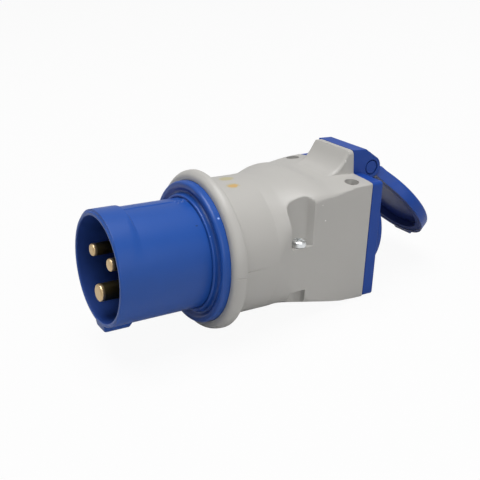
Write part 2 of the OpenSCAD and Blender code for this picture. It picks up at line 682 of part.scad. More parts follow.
// Points of a wire that leaves a and reaches b along Y, and bows by v between
function wire_path(a, b, v) = [for (i = [0:14]) let (t = i / 14, q = t * t * (3 - 2 * t))
    [mix(a[0], b[0], q), mix(a[1], b[1], t), mix(a[2], b[2], q)] + v * (sin(180 * t)) ^ 2];
// The bared ends run into both terminals
module wire(i, b, v, c) {
    a = [pin_at(i)[0], barrel_y + 0.3, pin_at(i)[1]];
    color(c) tube(wire_path(a, b, v), wire_r);
    color([0.72, 0.45, 0.2]) {
        rod_y(wire_core_r, barrel_y - core_in, barrel_y + 1, a[0], a[2]);
        rod_y(wire_core_r, b[1] - 1, b[1] + term_in, b[0], b[2]);
    }
}
// how far the wires bow outwards and up
bow = wire_r;
module line_wire() wire(0, [contact_gap / 2, term_y - 0.5, socket_z], [bow, 0, bow], [0.38, 0.24, 0.14]);
module neutral_wire() wire(1, [-contact_gap / 2, term_y - 0.5, socket_z], [-bow, 0, bow], [0.16, 0.36, 0.66]);
module earth_wire() wire(2, [shank_r + wire_core_r + 0.15, insert_y - tab_l - 0.5,
    socket_z + tab_z - clip_t / 2 - wire_core_r - 0.1], [0, 0, -bow * 0.8], [0.42, 0.6, 0.2]);

// --- Hinge and lid --------------------------------------------------------

module hinge_pin() color([0.15, 0.30, 0.64]) rod_x(hinge_pin_r, -hinge_w + 0.1, hinge_w - 0.1);

// Puts a piece that is drawn shut where the open lid has it
module opened() translate([0, hinge_y, hinge_z]) rotate([lid_open, 0, 0])
    translate([0, -hinge_y, -hinge_z]) children();

lid_top = hinge_z - knuckle_r - gap_c;
lid_z = lid_top - lid_r;
// the lid narrows towards the hinge from this angle on its circle
lid_cheek = 28;
lid_round = 1.6;
lid_draft = 0.3;
module lid_plan() {
    translate([0, lid_z]) circle(lid_r - lid_draft - 0.1);
    cheek_z = lid_z + lid_r * sin(lid_cheek);
    both_sides() polygon([[0, cheek_z], [(lid_r - 0.5) * cos(lid_cheek), cheek_z],
        [hinge_w - 1, lid_top], [0, lid_top]]);
}
// Tab under the lid for a finger
tab_w = 10;
tab_h = 1.2;
tab_t = 2.2;
module lid() color([0.17, 0.33, 0.68]) opened() difference() {
    union() {
        translate([0, rim_y, 0]) rotate([90, 0, 0]) mirror([0, 0, 1]) linear_extrude(lid_d - 1) lid_plan();
        translate([0, 0, lid_z]) along_y(rim_y) rotate_extrude($fn = 96) polygon(concat(
            [[0, 0], [lid_r, 0], [lid_r - lid_draft, lid_d - lid_round]],
            [for (a = [15:15:90]) [lid_r - lid_draft - lid_round * (1 - cos(a)),
                lid_d - lid_round * (1 - sin(a))]], [[0, lid_d]]));
        translate([-knuckle_w, rim_y, lid_top - 2])
            cube([2 * knuckle_w, hinge_y + knuckle_r - 0.1 - rim_y, hinge_z - lid_top + 2]);
        rod_x(knuckle_r - 0.05, -knuckle_w, knuckle_w);
        translate([-tab_w / 2, rim_y, lid_z - lid_r - tab_h]) cube([tab_w, tab_t, tab_h + 3]);
    }
    rod_y(lid_r - lid_wall, rim_y - 1, rim_y + lid_d - 2, 0, lid_z);
    rod_x(hinge_pin_r + run_c, -knuckle_w - 1, knuckle_w + 1);
}
seal_w = 2.35;
module lid_seal() color([0.10, 0.13, 0.22]) opened() difference() {
    rod_y(lid_r - lid_wall - 0.05, rim_y + gap_c, rim_y + lid_d - 2, 0, lid_z);
    rod_y(lid_r - lid_wall - 0.05 - seal_w, rim_y - 1, rim_y + lid_d, 0, lid_z);
}

plug_sleeve();
line_pin();
neutral_pin();
earth_pin();
pin_retainer();
retainer_screw();
pin_terminal_screws();
upper_shell();
lower_shell();
front_shell_screws();
rear_shell_screws();
socket_flange();
frame_screws();
socket_insert();
insert_screw();
line_contact();
neutral_contact();
earth_clip();
socket_terminal_screws();
line_wire();
neutral_wire();
earth_wire();
hinge_pin();
lid();
lid_seal();
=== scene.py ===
"""Looks of a plug adaptor: a 16 A three-pole pin and sleeve plug on a grey
clamshell body, with a flanged domestic socket and its hinged round lid.

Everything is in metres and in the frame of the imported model: Y runs from the
plug's mouth to the socket, Z is up towards the hinge, X is to the side.
"""
import json
import math

import bmesh
import bpy
import numpy as np
from bpy.props import FloatProperty, FloatVectorProperty, PointerProperty
from mathutils import Matrix, Vector

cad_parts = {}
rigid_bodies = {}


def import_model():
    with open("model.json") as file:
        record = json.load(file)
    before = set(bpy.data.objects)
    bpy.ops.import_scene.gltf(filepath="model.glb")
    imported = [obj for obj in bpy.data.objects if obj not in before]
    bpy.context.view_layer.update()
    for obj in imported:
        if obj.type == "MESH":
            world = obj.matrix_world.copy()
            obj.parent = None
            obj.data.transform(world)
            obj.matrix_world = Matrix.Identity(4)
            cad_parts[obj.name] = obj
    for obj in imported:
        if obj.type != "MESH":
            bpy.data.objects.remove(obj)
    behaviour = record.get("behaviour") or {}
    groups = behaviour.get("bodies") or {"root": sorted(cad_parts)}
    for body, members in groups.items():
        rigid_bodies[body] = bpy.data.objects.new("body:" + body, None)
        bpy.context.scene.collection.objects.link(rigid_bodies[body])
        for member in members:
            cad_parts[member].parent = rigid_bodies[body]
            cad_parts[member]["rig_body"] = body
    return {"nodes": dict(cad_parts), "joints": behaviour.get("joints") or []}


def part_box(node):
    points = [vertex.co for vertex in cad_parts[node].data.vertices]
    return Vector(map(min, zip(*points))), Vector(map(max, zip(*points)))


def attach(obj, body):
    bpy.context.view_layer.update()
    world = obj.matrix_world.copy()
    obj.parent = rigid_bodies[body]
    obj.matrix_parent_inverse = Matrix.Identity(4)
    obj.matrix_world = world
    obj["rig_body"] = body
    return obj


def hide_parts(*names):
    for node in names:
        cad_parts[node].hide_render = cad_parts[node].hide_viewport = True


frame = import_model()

bl_info = {
    "name": "Plug Adaptor",
    "version": (1, 0, 0),
    "blender": (4, 5, 0),
    "location": "View3D > Sidebar > Adaptor",
    "description": "Builds the skin and finishes of a pin and sleeve plug adaptor",
    "category": "Add Mesh",
}

MM = 0.001


def corner(node, side, axis):
    """Coordinate of a CAD node's lowest (side 0) or highest (side 1) corner."""
    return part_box(node)[side]["xyz".index(axis)]


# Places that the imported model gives: the mouth of the sleeve, the collar's
# front and its radius, the socket frame's front face, its half width and its
# lower edge, the top of the hinge block, half its width, and the hinge's axis.
MOUTH_Y = corner("plug_sleeve", 0, "y")
COLLAR_Y = corner("upper_shell", 0, "y")
FRAME_Y = corner("upper_shell", 1, "y")
COLLAR_R = corner("upper_shell", 1, "x")
HALF_W = corner("socket_flange", 1, "x")
BOTTOM_Z = -corner("socket_flange", 0, "z")
BLOCK_Z = corner("socket_flange", 1, "z")
HINGE_W = corner("hinge_pin", 1, "x") + 0.1 * MM
HINGE = np.array(frame["joints"][0]["pos_m"])
PINS = ("line_pin", "neutral_pin", "earth_pin")

# How the body turns from the round neck into a box. Each key is (share of the
# body's length, share of the change): of the half width, of the height of the
# top and the bottom corners, of the height of the roof's and the bottom's
# middle, and the share of the crown's rise that is added to the roof.
SIDE = ((0, 0), (0.13, 0.62), (0.22, 0.92), (0.34, 1), (1, 1))
TOP = ((0, 0), (0.1, 0.28), (0.2, 0.54), (0.31, 0.74), (0.4, 0.815), (0.5, 0.85), (0.6, 0.88), (0.8, 0.955),
       (1, 0.985))
LOW = ((0, 0), (0.13, 0.385), (0.22, 0.6), (0.3, 0.72), (0.41, 0.815), (0.62, 0.93), (0.8, 0.985), (1, 1))
BELLY = ((0, 0), (0.07, 0.18), (0.13, 0.5), (0.22, 0.74), (0.3, 0.87), (0.41, 0.97), (0.55, 1), (1, 1))
CROWN = ((0, 0), (0.15, 0.05), (0.3, 0.25), (0.4, 0.45), (0.47, 0.52), (0.52, 0.4), (0.58, 0.13),
         (0.64, 0), (1, 0))


def length(name, description, default_mm, **limits):
    """A length property whose default is given in millimetres."""
    return FloatProperty(name=name, description=description, default=default_mm * MM,
                         unit="LENGTH", precision=5, **limits)


def colour(name, description, rgb):
    """A colour property whose default is given as it looks on screen, 0 to 255."""
    linear = [((c / 255 + 0.055) / 1.055) ** 2.4 for c in rgb]
    return FloatVectorProperty(name=name, description=description, subtype="COLOR",
                               size=3, min=0, max=1, default=linear)


class BodySettings(bpy.types.PropertyGroup):
    """Sizes and colour of the grey clamshell body."""

    neck: length("Neck radius", "Radius of the round neck behind the collar", 27.95)
    neck_end: length("Neck end", "Station where the neck turns into the body", 26.5)
    wall: length("Wall", "Thickness of the shells", 2.5)
    top: length("Top corners", "Height of the body's top corners over the axis", 26.1)
    roof: length("Roof", "Height of the roof's middle over the axis at the socket", 27.1)
    crown: length("Crown", "Rise of the round crown in front of the roof", 2.4)
    channel: length("Channel radius", "Radius of the screw channels in the sides", 5.5)
    channel_y: length("Channel station", "Station of the screw channels", 37.9)
    channel_lean: length("Channel lean", "How far a channel's front wall leans back down to its floor", 1.3)
    channel_floor: length("Channel floor", "Height of the channels' floor", 4)
    well: length("Well radius", "Radius of the wells under the front screws", 3.75)
    well_top: length("Well top", "Depth of the wells' ceiling under the axis", 14.5)
    rear_well: length("Rear well radius", "Radius of the wells over the rear screws", 2.65)
    rear_well_in: length("Rear well inset", "Distance of the rear wells from the sides", 4.9)
    rear_well_y: length("Rear well station", "Distance of the rear wells from the frame", 7.3)
    rear_well_floor: length("Rear well floor", "Height of the rear wells' floor", 17.75)
    rear_well_top: length("Rear well mouth", "Height of the rear wells' mouth", 25.4)
    seam: length("Parting chamfer", "Chamfer where the two shells meet", 0.28)
    rim: length("Rim rounding", "Radius of the shells' edge at the socket's frame", 0.5)
    collar_shift: length("Collar shift", "How much narrower the collar is at its top", 1.3)
    fairing_edge: length("Fairing edge", "Radius along the sides of the fairing under the hinge", 2)
    colour: colour("Plastic", "Colour of the grey plastic", (176, 174, 170))
    stain: colour("Stain", "Colour of the fresh stain on the neck", (192, 156, 98))
    old_stain: colour("Old stain", "Colour of the faded stain on the neck", (174, 165, 122))


class PlugSettings(bpy.types.PropertyGroup):
    """Sizes and colours of the blue sleeve and its pins."""

    radius: length("Sleeve radius", "Outer radius of the sleeve", 22)
    wall: length("Sleeve wall", "Thickness of the sleeve", 1.6)
    base: length("Base station", "Station of the face that the pins stand on", 2.5)
    hub: length("Hub", "Station of the base's rear face", 13.7)
    pad: length("Pad height", "Height of the pad over the mouth", 0.9)
    pad_length: length("Pad length", "Length of the pad from the mouth", 10.7)
    key: length("Key width", "Width of the key lug", 8)
    key_height: length("Key height", "Height of the key lug over the sleeve", 3.1)
    key_length: length("Key length", "Length of the key lug from the mouth", 13.5)
    rib: length("Rib height", "Height of the fine rib along the top", 0.3)
    flange: length("Flange radius", "Radius of the flange", 28.4)
    bead: length("Bead radius", "Radius of the bead at the sleeve's root", 0.65)
    valley: length("Valley", "Station of the valley behind the bead", 2.4)
    roll: length("Roll height", "How far the roll along the rim stands out of the valley", 1.25)
    roll_width: length("Roll width", "Width of the roll from its crest out to the rim", 1.1)
    groove: length("Groove station", "Station of the groove that the shells run in", 8.2)
    lip: length("Lip station", "Station of the lip behind the groove", 11.2)
    edge: length("Edge rounding", "Radius of the moulded edges", 0.35)
    colour: colour("Plastic", "Colour of the blue sleeve", (30, 76, 155))
    # a darker copy of the sleeve's blue, painted shade for the inside of the bore
    bore: colour("Bore", "Colour of the sleeve's inside", (34, 62, 130))
    brass: colour("Brass", "Colour of the pins' tips", (220, 192, 148))
    # painted shade and dark reflection of the bore, laid as colour on the pins' shafts behind their tips
    shaft_shade: colour("Shaft shade", "Colour of the pins behind their tips", (100, 88, 58))


class SocketSettings(bpy.types.PropertyGroup):
    """Sizes and colours of the socket's frame and lid."""

    edge: length("Edge rounding", "Radius of the moulded edges", 0.45)
    colour: colour("Frame plastic", "Colour of the frame", (26, 66, 148))
    lid: colour("Lid plastic", "Colour of the lid", (26, 66, 146))
    # a darker, duller copy of the lid's blue, painted shade for the inside of the lid's cup
    inside: colour("Lid inside painted shade", "Colour of the lid's inside", (46, 64, 130))
    rubber: colour("Seal", "Colour of the lid's seal", (46, 64, 124))


class StageSettings(bpy.types.PropertyGroup):
    """Camera, floor and lights."""

    azimuth: FloatProperty(name="Azimuth", description="Camera's direction round the part; 0 looks along +Y",
                           default=math.radians(57.094), subtype="ANGLE")
    elevation: FloatProperty(name="Elevation", description="Camera's height over the horizon",
                             default=math.radians(21.181), subtype="ANGLE")
    roll: FloatProperty(name="Roll", description="Turn of the camera about its view",
                        default=math.radians(2.184), subtype="ANGLE")
    lens: FloatProperty(name="Lens", description="Focal length on a 36 mm sensor", default=58.963,
                        unit="CAMERA")
    place: FloatVectorProperty(name="Camera", description="Place of the camera", subtype="XYZ", unit="LENGTH",
                               default=(0.252848, -0.137557, 0.117571))
    floor: colour("Floor", "Colour of the floor", (205, 205, 205))


# --- Meshes ---------------------------------------------------------------


def grid_faces(rows, cols, around=False, flip=False):
    """Quads of a grid of points that is stored row by row; around joins its last column to its first."""
    i = np.arange(rows - 1)[:, None]
    j = np.arange(cols if around else cols - 1)[None, :]
    k = (j + 1) % cols
    quads = np.stack([i * cols + j, i * cols + k, (i + 1) * cols + k, (i + 1) * cols + j], -1)
    quads = quads.reshape(-1, 4)
    return quads[:, ::-1] if flip else quads


def solid_mesh(name, points, faces):
    """A mesh of points and faces with its doubles merged and its faces turned outwards."""
    mesh = bpy.data.meshes.new(name)
    mesh.from_pydata(np.asarray(points).tolist(), [], [list(f) for f in faces])
    clean(mesh)
    return mesh


def new_piece(name, points, faces, body, slot, replaces=()):
    """A closed piece that rides on a body."""
    piece = bpy.data.objects.new(name, solid_mesh(name, points, faces))
    bpy.context.scene.collection.objects.link(piece)
    return place(piece, body, slot, replaces)


def clean(mesh):
    """Merges doubles and turns the faces outwards."""
    apart = 1e-6
    work = bmesh.new()
    work.from_mesh(mesh)
    bmesh.ops.remove_doubles(work, verts=work.verts, dist=apart)
    bmesh.ops.dissolve_degenerate(work, edges=work.edges, dist=apart)
    bmesh.ops.recalc_face_normals(work, faces=work.faces)
    work.to_mesh(mesh)
    work.free()


def place(piece, body, slot, replaces=()):
    """Hangs a piece on its body and hides the nodes it stands for. The slot is not used."""
    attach(piece, body)
    if replaces:
        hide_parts(*replaces)
    return piece


def shade(piece):
    """Smooth faces with sharp edges past 32 degrees, weighted by face size."""
    mesh = piece.data
    mesh.polygons.foreach_set("use_smooth", np.ones(len(mesh.polygons), bool))
    mesh.set_sharp_from_angle(angle=math.radians(32))
    piece.modifiers.new("Weighted normals", "WEIGHTED_NORMAL").keep_sharp = True
    return piece


def settle(piece):
    """Turns a piece's modifiers into its mesh."""
    graph = bpy.context.evaluated_depsgraph_get()
    mesh = bpy.data.meshes.new_from_object(piece.evaluated_get(graph))
    piece.modifiers.clear()
    old, piece.data = piece.data, mesh
    mesh.name = old.name
    bpy.data.meshes.remove(old)
    return piece


def softened(name, slot, width):
    """A copy of a CAD node with its flat faces joined and its edges rounded."""
    source = frame["nodes"][name]
    mesh = source.data.copy()
    mesh.materials.clear()
    work = bmesh.new()
    work.from_mesh(mesh)
    bmesh.ops.remove_doubles(work, verts=work.verts, dist=2e-6)
    bmesh.ops.dissolve_limit(work, angle_limit=math.radians(0.6), verts=work.verts, edges=work.edges)
    work.to_mesh(mesh)
    work.free()
    piece = bpy.data.objects.new(name + "_skin", mesh)
    bpy.context.scene.collection.objects.link(piece)
    bevel = piece.modifiers.new("Rounded edges", "BEVEL")
    bevel.width = width
    bevel.segments = 2
    bevel.limit_method = "ANGLE"
    bevel.angle_limit = math.radians(28)
    bevel.use_clamp_overlap = True
    bevel.miter_outer = "MITER_ARC"
    settle(piece)
    place(piece, source["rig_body"], slot, (name,))
    return shade(piece)


def smooth_keys(keys, u):
    """Value at u of rising (station, value) keys, by cubics whose slope at a key is its neighbours' slope."""
    k = np.array(keys, float)
    near = np.clip(np.arange(len(k))[:, None] + [-1, 1], 0, len(k) - 1)
    slope = (k[near[:, 1], 1] - k[near[:, 0], 1]) / (k[near[:, 1], 0] - k[near[:, 0], 0])
    i = np.clip(np.searchsorted(k[:, 0], u, side="right") - 1, 0, len(k) - 2)
    h = k[i + 1, 0] - k[i, 0]
    t = (u - k[i, 0]) / h
    return ((1 + 2 * t) * (1 - t) ** 2 * k[i, 1] + t * (1 - t) ** 2 * h * slope[i]
            + t**2 * (3 - 2 * t) * k[i + 1, 1] + t**2 * (t - 1) * h * slope[i + 1])


def spaced(low, high, step, *dense):
    """Rising values from low to high a step apart, with count more within spread of each dense centre."""
    sets = [np.linspace(low, high, max(2, round((high - low) / step) + 1))]
    sets += [centre + spread * np.linspace(-1, 1, count) for centre, spread, count in dense]
    values = np.unique(np.concatenate(sets))
    values = values[(values >= low) & (values <= high)]
    keep = np.concatenate([[True], np.diff(values) > step * 1e-3])
    return values[keep]


def smooth_max(a, b, k):
    """The larger of a and b, blended over k where they are close."""
    h = np.clip(0.5 + 0.5 * (b - a) / k, 0, 1)
    return a + (b - a) * h + k * h * (1 - h)


def smooth_min(a, b, k):
    """The smaller of a and b, blended over k where they are close."""
    return -smooth_max(-a, -b, k)


def ramp01(x, low, high):
    """Smooth step from 0 at low to 1 at high."""
    t = np.clip((x - low) / (high - low), 0, 1)
    return t * t * (3 - 2 * t)


# --- Body shells ----------------------------------------------------------


def body_radius(s, u, angle, inset=0.0):
    """Distance from the axis to the body at share u of its length, in the direction angle.

    A section has straight sides at half its width, and half an ellipse from
    their ends over the top and under the bottom. A direction meets either the
    side, at w / cos, or the ellipse, at the root of its quadratic.
    """
    across, up = np.abs(np.cos(angle)), np.abs(np.sin(angle))
    over = np.sin(angle) >= 0
    belly = smooth_keys(BELLY, u)
    w = s.neck + (HALF_W - s.neck) * smooth_keys(SIDE, u) - inset
    side = np.where(over, smooth_keys(TOP, u) * (s.top - inset), smooth_keys(LOW, u) * (BOTTOM_Z - inset))
    peak = np.where(over, s.neck + (s.roof - s.neck) * belly + s.crown * smooth_keys(CROWN, u),
                    s.neck + (BOTTOM_Z - s.neck) * belly) - inset
    rise = np.maximum(peak - side, 0.05 * MM)
    flat = w / np.maximum(across, 1e-6)
    a = (across / w) ** 2 + (up / rise) ** 2
    b = -2 * up * side / rise**2
    c = (side / rise) ** 2 - 1
    curved = (-b + np.sqrt(np.maximum(b * b - 4 * a * c, 0))) / (2 * a)
    return np.where(flat * up <= side, flat, curved)


def fairing_top(y, foot, top):
    """Height at y of the fairing's ramp up to the hinge block.

    The ramp is a quadratic curve with three control points: its foot on the
    roof, a bend that it is drawn towards, and its top in front of a flat strip.
    """
    flat, reach = 2.6 * MM, 10.296 * MM
    bend, lift = 3.575 * MM, 2.1 * MM
    t = np.linspace(0, 1, 60)
    ahead = reach * (1 - t) ** 2 + 2 * bend * t * (1 - t)
    height = foot * (1 - t) ** 2 + 2 * (foot + lift) * t * (1 - t) + top * t**2
    return np.interp(y, FRAME_Y - flat - ahead, height, left=foot - 20 * MM)


def channel_side(y, radius, power=2.0, flare=0.0):
    """How far from the channel's centre line its wall stands at y.

    The wall is half a rounded square whose power tells how square it is, 2
    for a circle. A flare above 0 is the slope of the straight wall behind it.
    """
    far, straight = 20 * MM, 0.9
    share = np.clip(1 - np.abs(y / radius) ** power, 0, 1)
    wall = np.where(np.abs(y) < radius, -radius * share ** (1 / power), far)
    if flare:
        start = straight * radius
        depth = -radius * (1 - straight**power) ** (1 / power)
        wall = np.where(y > start, depth + (y - start) * flare, wall)
    return wall


def shell_angles(s, up):
    """Directions round the axis from +X over to -X, closer together along the shell's edges."""
    floor_at = math.atan2(s.channel_floor if up > 0 else s.well_top, HALF_W)
    fairing_at = math.atan2(s.roof, HINGE_W - 0.1 * MM)
    fairing = (fairing_at, 0.03, 31) if up > 0 else (fairing_at, 0, 1)
    half = spaced(0, math.pi / 2, 0.032, (0, 0.02, 9), (floor_at, 0.013, 15), fairing,
                  (math.radians(45), 0.12, 15))
    return np.concatenate([half, math.pi - half[-2::-1]]) * up


def collar_rows(s, inset):
    """Stations and radii along the collar and the neck.

    The collar's front is a long round up to its crest, its back a tight one,
    and a hollow leads down to the neck. Inside, the neck's bore ends at the
    groove of the sleeve.
    """
    hole, width, groove = 28.6 * MM, 5.2 * MM, 8.3 * MM
    back, hollow = 0.5 * MM, 1.2 * MM
    high, run = COLLAR_R - hole - 0.15 * MM, width - back
    front = np.radians(np.linspace(-88, 0, 16))
    tail = np.radians(np.linspace(10, 80, 8))
    dip = np.radians(np.linspace(0, 90, 7))
    neck = np.arange(COLLAR_Y + width + hollow + 0.8 * MM, s.neck_end, 0.9 * MM)
    y = np.concatenate([[COLLAR_Y], COLLAR_Y + run * (1 + np.sin(front)),
                        COLLAR_Y + run + back * np.sin(tail),
                        COLLAR_Y + width + hollow * (1 - np.cos(dip)), neck])
    radius = np.concatenate([[hole], COLLAR_R - high + high * np.cos(front) ** 0.6,
                             COLLAR_R - back + back * np.cos(tail), s.neck + hollow * (1 - np.sin(dip)),
                             np.full(len(neck), s.neck)])
    if inset:
        radius = np.minimum(radius, np.where(y < groove, hole - 0.05 * MM, s.neck - inset))
    return y, radius


def body_rows(s, angle, inset):
    """Stations and radii from the neck's end to the socket's frame, closer together at channels and rim."""
    at = s.channel_y
    y = spaced(s.neck_end, FRAME_Y, 0.8 * MM, (at - s.channel, 0.5 * MM, 13), (at + 4 * MM, 0.6 * MM, 7),
               (at + 10 * MM, 0.8 * MM, 7), (at - s.well, 0.3 * MM, 7), (at + s.well, 0.3 * MM, 7),
               (s.neck_end, 0.3 * MM, 5), (FRAME_Y, s.rim, 11))
    u = (y - s.neck_end) / (FRAME_Y - s.neck_end)
    radius = body_radius(s, u[:, None], angle[None, :], inset)
    if not inset:
        turn_in = np.clip(1 - (FRAME_Y - y) / s.rim, 0, 1)
        radius -= s.rim * (1 - np.sqrt(1 - turn_in**2))[:, None]
    return y, radius


def sunk_sides(s, up, points, wall):
    """Distance from the middle plane of a side with its screw channel (upper shell) or its well (lower).

    It is the smaller of the side's own distance and the channel wall's, blended
    where they are close, and it holds past the channel's floor alone.
    """
    x, y, z = points
    out, soft = np.abs(x), 0.1 * MM
    if up > 0:
        # the front wall leans back down to the floor, and the channel is deeper in front
        lean = s.channel_lean * (1 - ramp01(z, s.channel_floor, s.channel_floor + 3 * s.channel))
        along = y - s.channel_y
        skew = 0.93 - 0.17 * np.clip(along / s.channel, -1, 1)
        along = np.where(along < 0, along * s.channel / (s.channel - lean), along)
        limit = channel_side(along, s.channel + wall, power=2.8, flare=2.2)
        limit = np.where(limit < 0, limit * skew, limit)
        centre, floor = HALF_W + 0.35 * MM, s.channel_floor - wall
        share = ramp01(z, floor - soft, floor + soft)
    else:
        limit = channel_side(y - s.channel_y, s.well + wall)
        centre, floor = HALF_W - MM, s.well_top - wall
        share = ramp01(-z, floor - soft, floor + soft)
    sunk = smooth_min(out, centre + limit, 0.5 * MM)
    return out + (np.minimum(sunk, out) - out) * share


def with_fairing(s, points, inset):
    """Height of the upper shell with the fairing in front of the hinge block.

    The fairing is its ramp less a quarter round along each side, past which it
    falls steeply. The larger of roof and fairing holds, blended where they are
    close.
    """
    x, y, z = points
    lower, edge = inset * 1.2, s.fairing_edge
    ramp = fairing_top(y, s.roof - 0.8 * MM, BLOCK_Z - 0.15 * MM) - lower
    past = np.abs(x) - (HINGE_W - lower - edge)
    drop = edge - np.sqrt(edge**2 - np.clip(past, 0, 0.99 * edge) ** 2)
    steep = 9 * np.maximum(past - 0.99 * edge, 0)
    return np.maximum(z, smooth_max(z, ramp - drop - steep, 2 * MM))


def shell_skin(s, up, inset):
    """Points of one shell's outside (inset 0) or inside, as rows along Y of columns from +X over to -X.

    A point lies at its row's radius in its column's direction. Then its side
    is sunk by the channel or the well, and its top is raised by the fairing.
    """
    angle = shell_angles(s, up)
    collar_y, collar = collar_rows(s, inset)
    body_y, body = body_rows(s, angle, inset)
    radius = np.concatenate([np.repeat(collar[:, None], len(angle), 1), body])
    y = np.concatenate([collar_y, body_y])[:, None] + 0 * radius
    if up > 0:
        # the collar grows narrower towards its top
        y = y - s.collar_shift * np.sin(angle) ** 2 * (ramp01(y, COLLAR_Y + 0.5 * MM, COLLAR_Y + 4 * MM)
                                                      - ramp01(y, COLLAR_Y + 6 * MM, COLLAR_Y + 13 * MM))
    x, z = radius * np.cos(angle), radius * np.sin(angle)
    side = np.sign(np.cos(angle))
    x = side * sunk_sides(s, up, (x, y, z), 1.9 * MM if inset else 0.0)
    if up > 0:
        z = with_fairing(s, (x, y, z), inset)
    if not inset:
        # a fine chamfer where the shells meet, on the collar and the neck
        depth = 1 - ramp01(y, s.neck_end - 14 * MM, s.neck_end)
        x = x - side * 0.8 * s.seam * np.clip(1 - np.abs(z) / s.seam, 0, 1) * depth
    return np.stack([x, y, z], -1)


def shell_mesh(s, up):
    """Outside and inside skins of one shell, joined along their four borders."""
    outer, inner = shell_skin(s, up, 0.0), shell_skin(s, up, s.wall)
    rows, cols = outer.shape[:2]
    n = rows * cols
    faces = [grid_faces(rows, cols), grid_faces(rows, cols, flip=True) + n]
    for border in (np.arange(cols), (rows - 1) * cols + np.arange(cols),
                   np.arange(rows) * cols, np.arange(rows) * cols + cols - 1):
        faces.append(np.stack([border[:-1], border[1:], border[1:] + n, border[:-1] + n], -1))
    return np.concatenate([outer.reshape(-1, 3), inner.reshape(-1, 3)]), np.concatenate(faces)


def turned(profile, centre=(0, 0), sides=48):
    """Points and faces of a closed solid that rows of (radius, height) make when they turn about Z."""
    a = np.linspace(0, 2 * math.pi, sides, endpoint=False)
    around = np.stack([np.cos(a), np.sin(a), 0 * a], -1)
    rows = np.array(profile, float)
    points = around[None] * rows[:, :1, None] + rows[:, 1, None, None] * [0, 0, 1] + [centre[0], centre[1], 0]
    faces = grid_faces(len(rows), sides, around=True).tolist()
    faces += [list(range(sides))[::-1], list(range((len(rows) - 1) * sides, len(rows) * sides))]
    return points.reshape(-1, 3), faces


def merged(solids):
    """Points and faces of several solids as one."""
    points, faces = [], []
    for corners, sides in solids:
        faces += [[len(points) + i for i in f] for f in sides]
        points += list(corners)
    return np.array(points), faces


def cut(piece, points, faces):
    """Cuts a closed solid out of a piece."""
    cutter = bpy.data.objects.new("cutter", solid_mesh("cutter", points, faces))
    bpy.context.scene.collection.objects.link(cutter)
    step = piece.modifiers.new("Cut", "BOOLEAN")
    step.operation, step.solver, step.object = "DIFFERENCE", "EXACT", cutter
    settle(piece)
    bpy.data.meshes.remove(cutter.data)


def add(piece, points, faces):
    """Adds a closed solid to a piece's mesh."""
    extra = solid_mesh("extra", points, faces)
    work = bmesh.new()
    work.from_mesh(piece.data)
    work.from_mesh(extra)
    work.to_mesh(piece.data)
    work.free()
    bpy.data.meshes.remove(extra)


# --- Plug sleeve ----------------------------------------------------------


def arc(centre, radii, start, end, count):
    """Points of an elliptic arc, from angle start to end in degrees."""
    turn = np.radians(np.linspace(start, end, count))
    return np.stack([centre[0] + radii[0] * np.cos(turn), centre[1] + radii[1] * np.sin(turn)], -1)


def sleeve_rows(s):
    """Outline of the sleeve as rows of (radius, station), and which rows lie on its outside.

    It runs from the base's middle along the bore to the mouth, back along the
    outside, over the bead, the hollow and the roll of the flange, and round
    the groove to the base's rear.
    """
    bore, core = s.radius - s.wall, 12 * MM
    root, bore_edge, rim_edge = MM, 0.5 * MM, 0.6 * MM
    inside = np.concatenate([
        [(0, s.base), (4 * MM, s.base), (core, s.base)],
        arc((bore - root, s.base - root), (root, root), 90, 0, 6),
        [(bore, y) for y in np.linspace(s.base - 3 * MM, MOUTH_Y + MM, 10)],
        arc((bore + bore_edge, MOUTH_Y + bore_edge), (bore_edge, bore_edge), 180, 270, 5),
        arc((s.radius - rim_edge, MOUTH_Y + rim_edge), (rim_edge, rim_edge), 270, 345, 6)])
    stations = spaced(MOUTH_Y + rim_edge, s.bead - 0.25 * MM, 1.1 * MM, (MOUTH_Y + 1.1 * MM, 0.6 * MM, 13),
                      (MOUTH_Y + s.pad_length, 0.5 * MM, 15), (MOUTH_Y + s.key_length - MM, 1.3 * MM, 9),
                      (-2.2 * MM, 2.2 * MM, 21))
    outside = np.stack([np.full(len(stations), s.radius), stations], -1)

    bead_at, hollow, depth = s.radius + 0.1 * MM + s.bead, 0.85 * MM, 1.4 * MM
    foot, crest = bead_at + s.bead + hollow, s.flange - s.roll_width
    neck, lip = s.radius + 0.5 * MM, s.flange - 3.9 * MM
    climb = np.linspace(0, 1, 14)
    slope = np.stack([foot + 0.1 * MM + (crest - MM - foot) * climb,
                      s.valley - s.roll * ramp01(climb, 0, 1)], -1)
    behind = np.concatenate([
        arc((bead_at, s.bead), (s.bead, -s.bead), 180, 0, 13),
        arc((foot, s.valley - depth), (hollow, depth), 170, 90, 7),
        slope,
        arc((crest, s.valley), (s.roll_width, -s.roll), 85, 0, 9),
        [(s.flange, s.valley + 0.6 * MM), (s.flange, s.groove), (neck, s.groove), (neck, s.lip),
         (lip, s.lip), (lip, s.hub), (core, s.hub), (0, s.hub)]])
    rows = np.concatenate([inside, outside, behind])
    on = np.zeros(len(rows), bool)
    on[len(inside):len(inside) + len(outside)] = True
    return rows, on


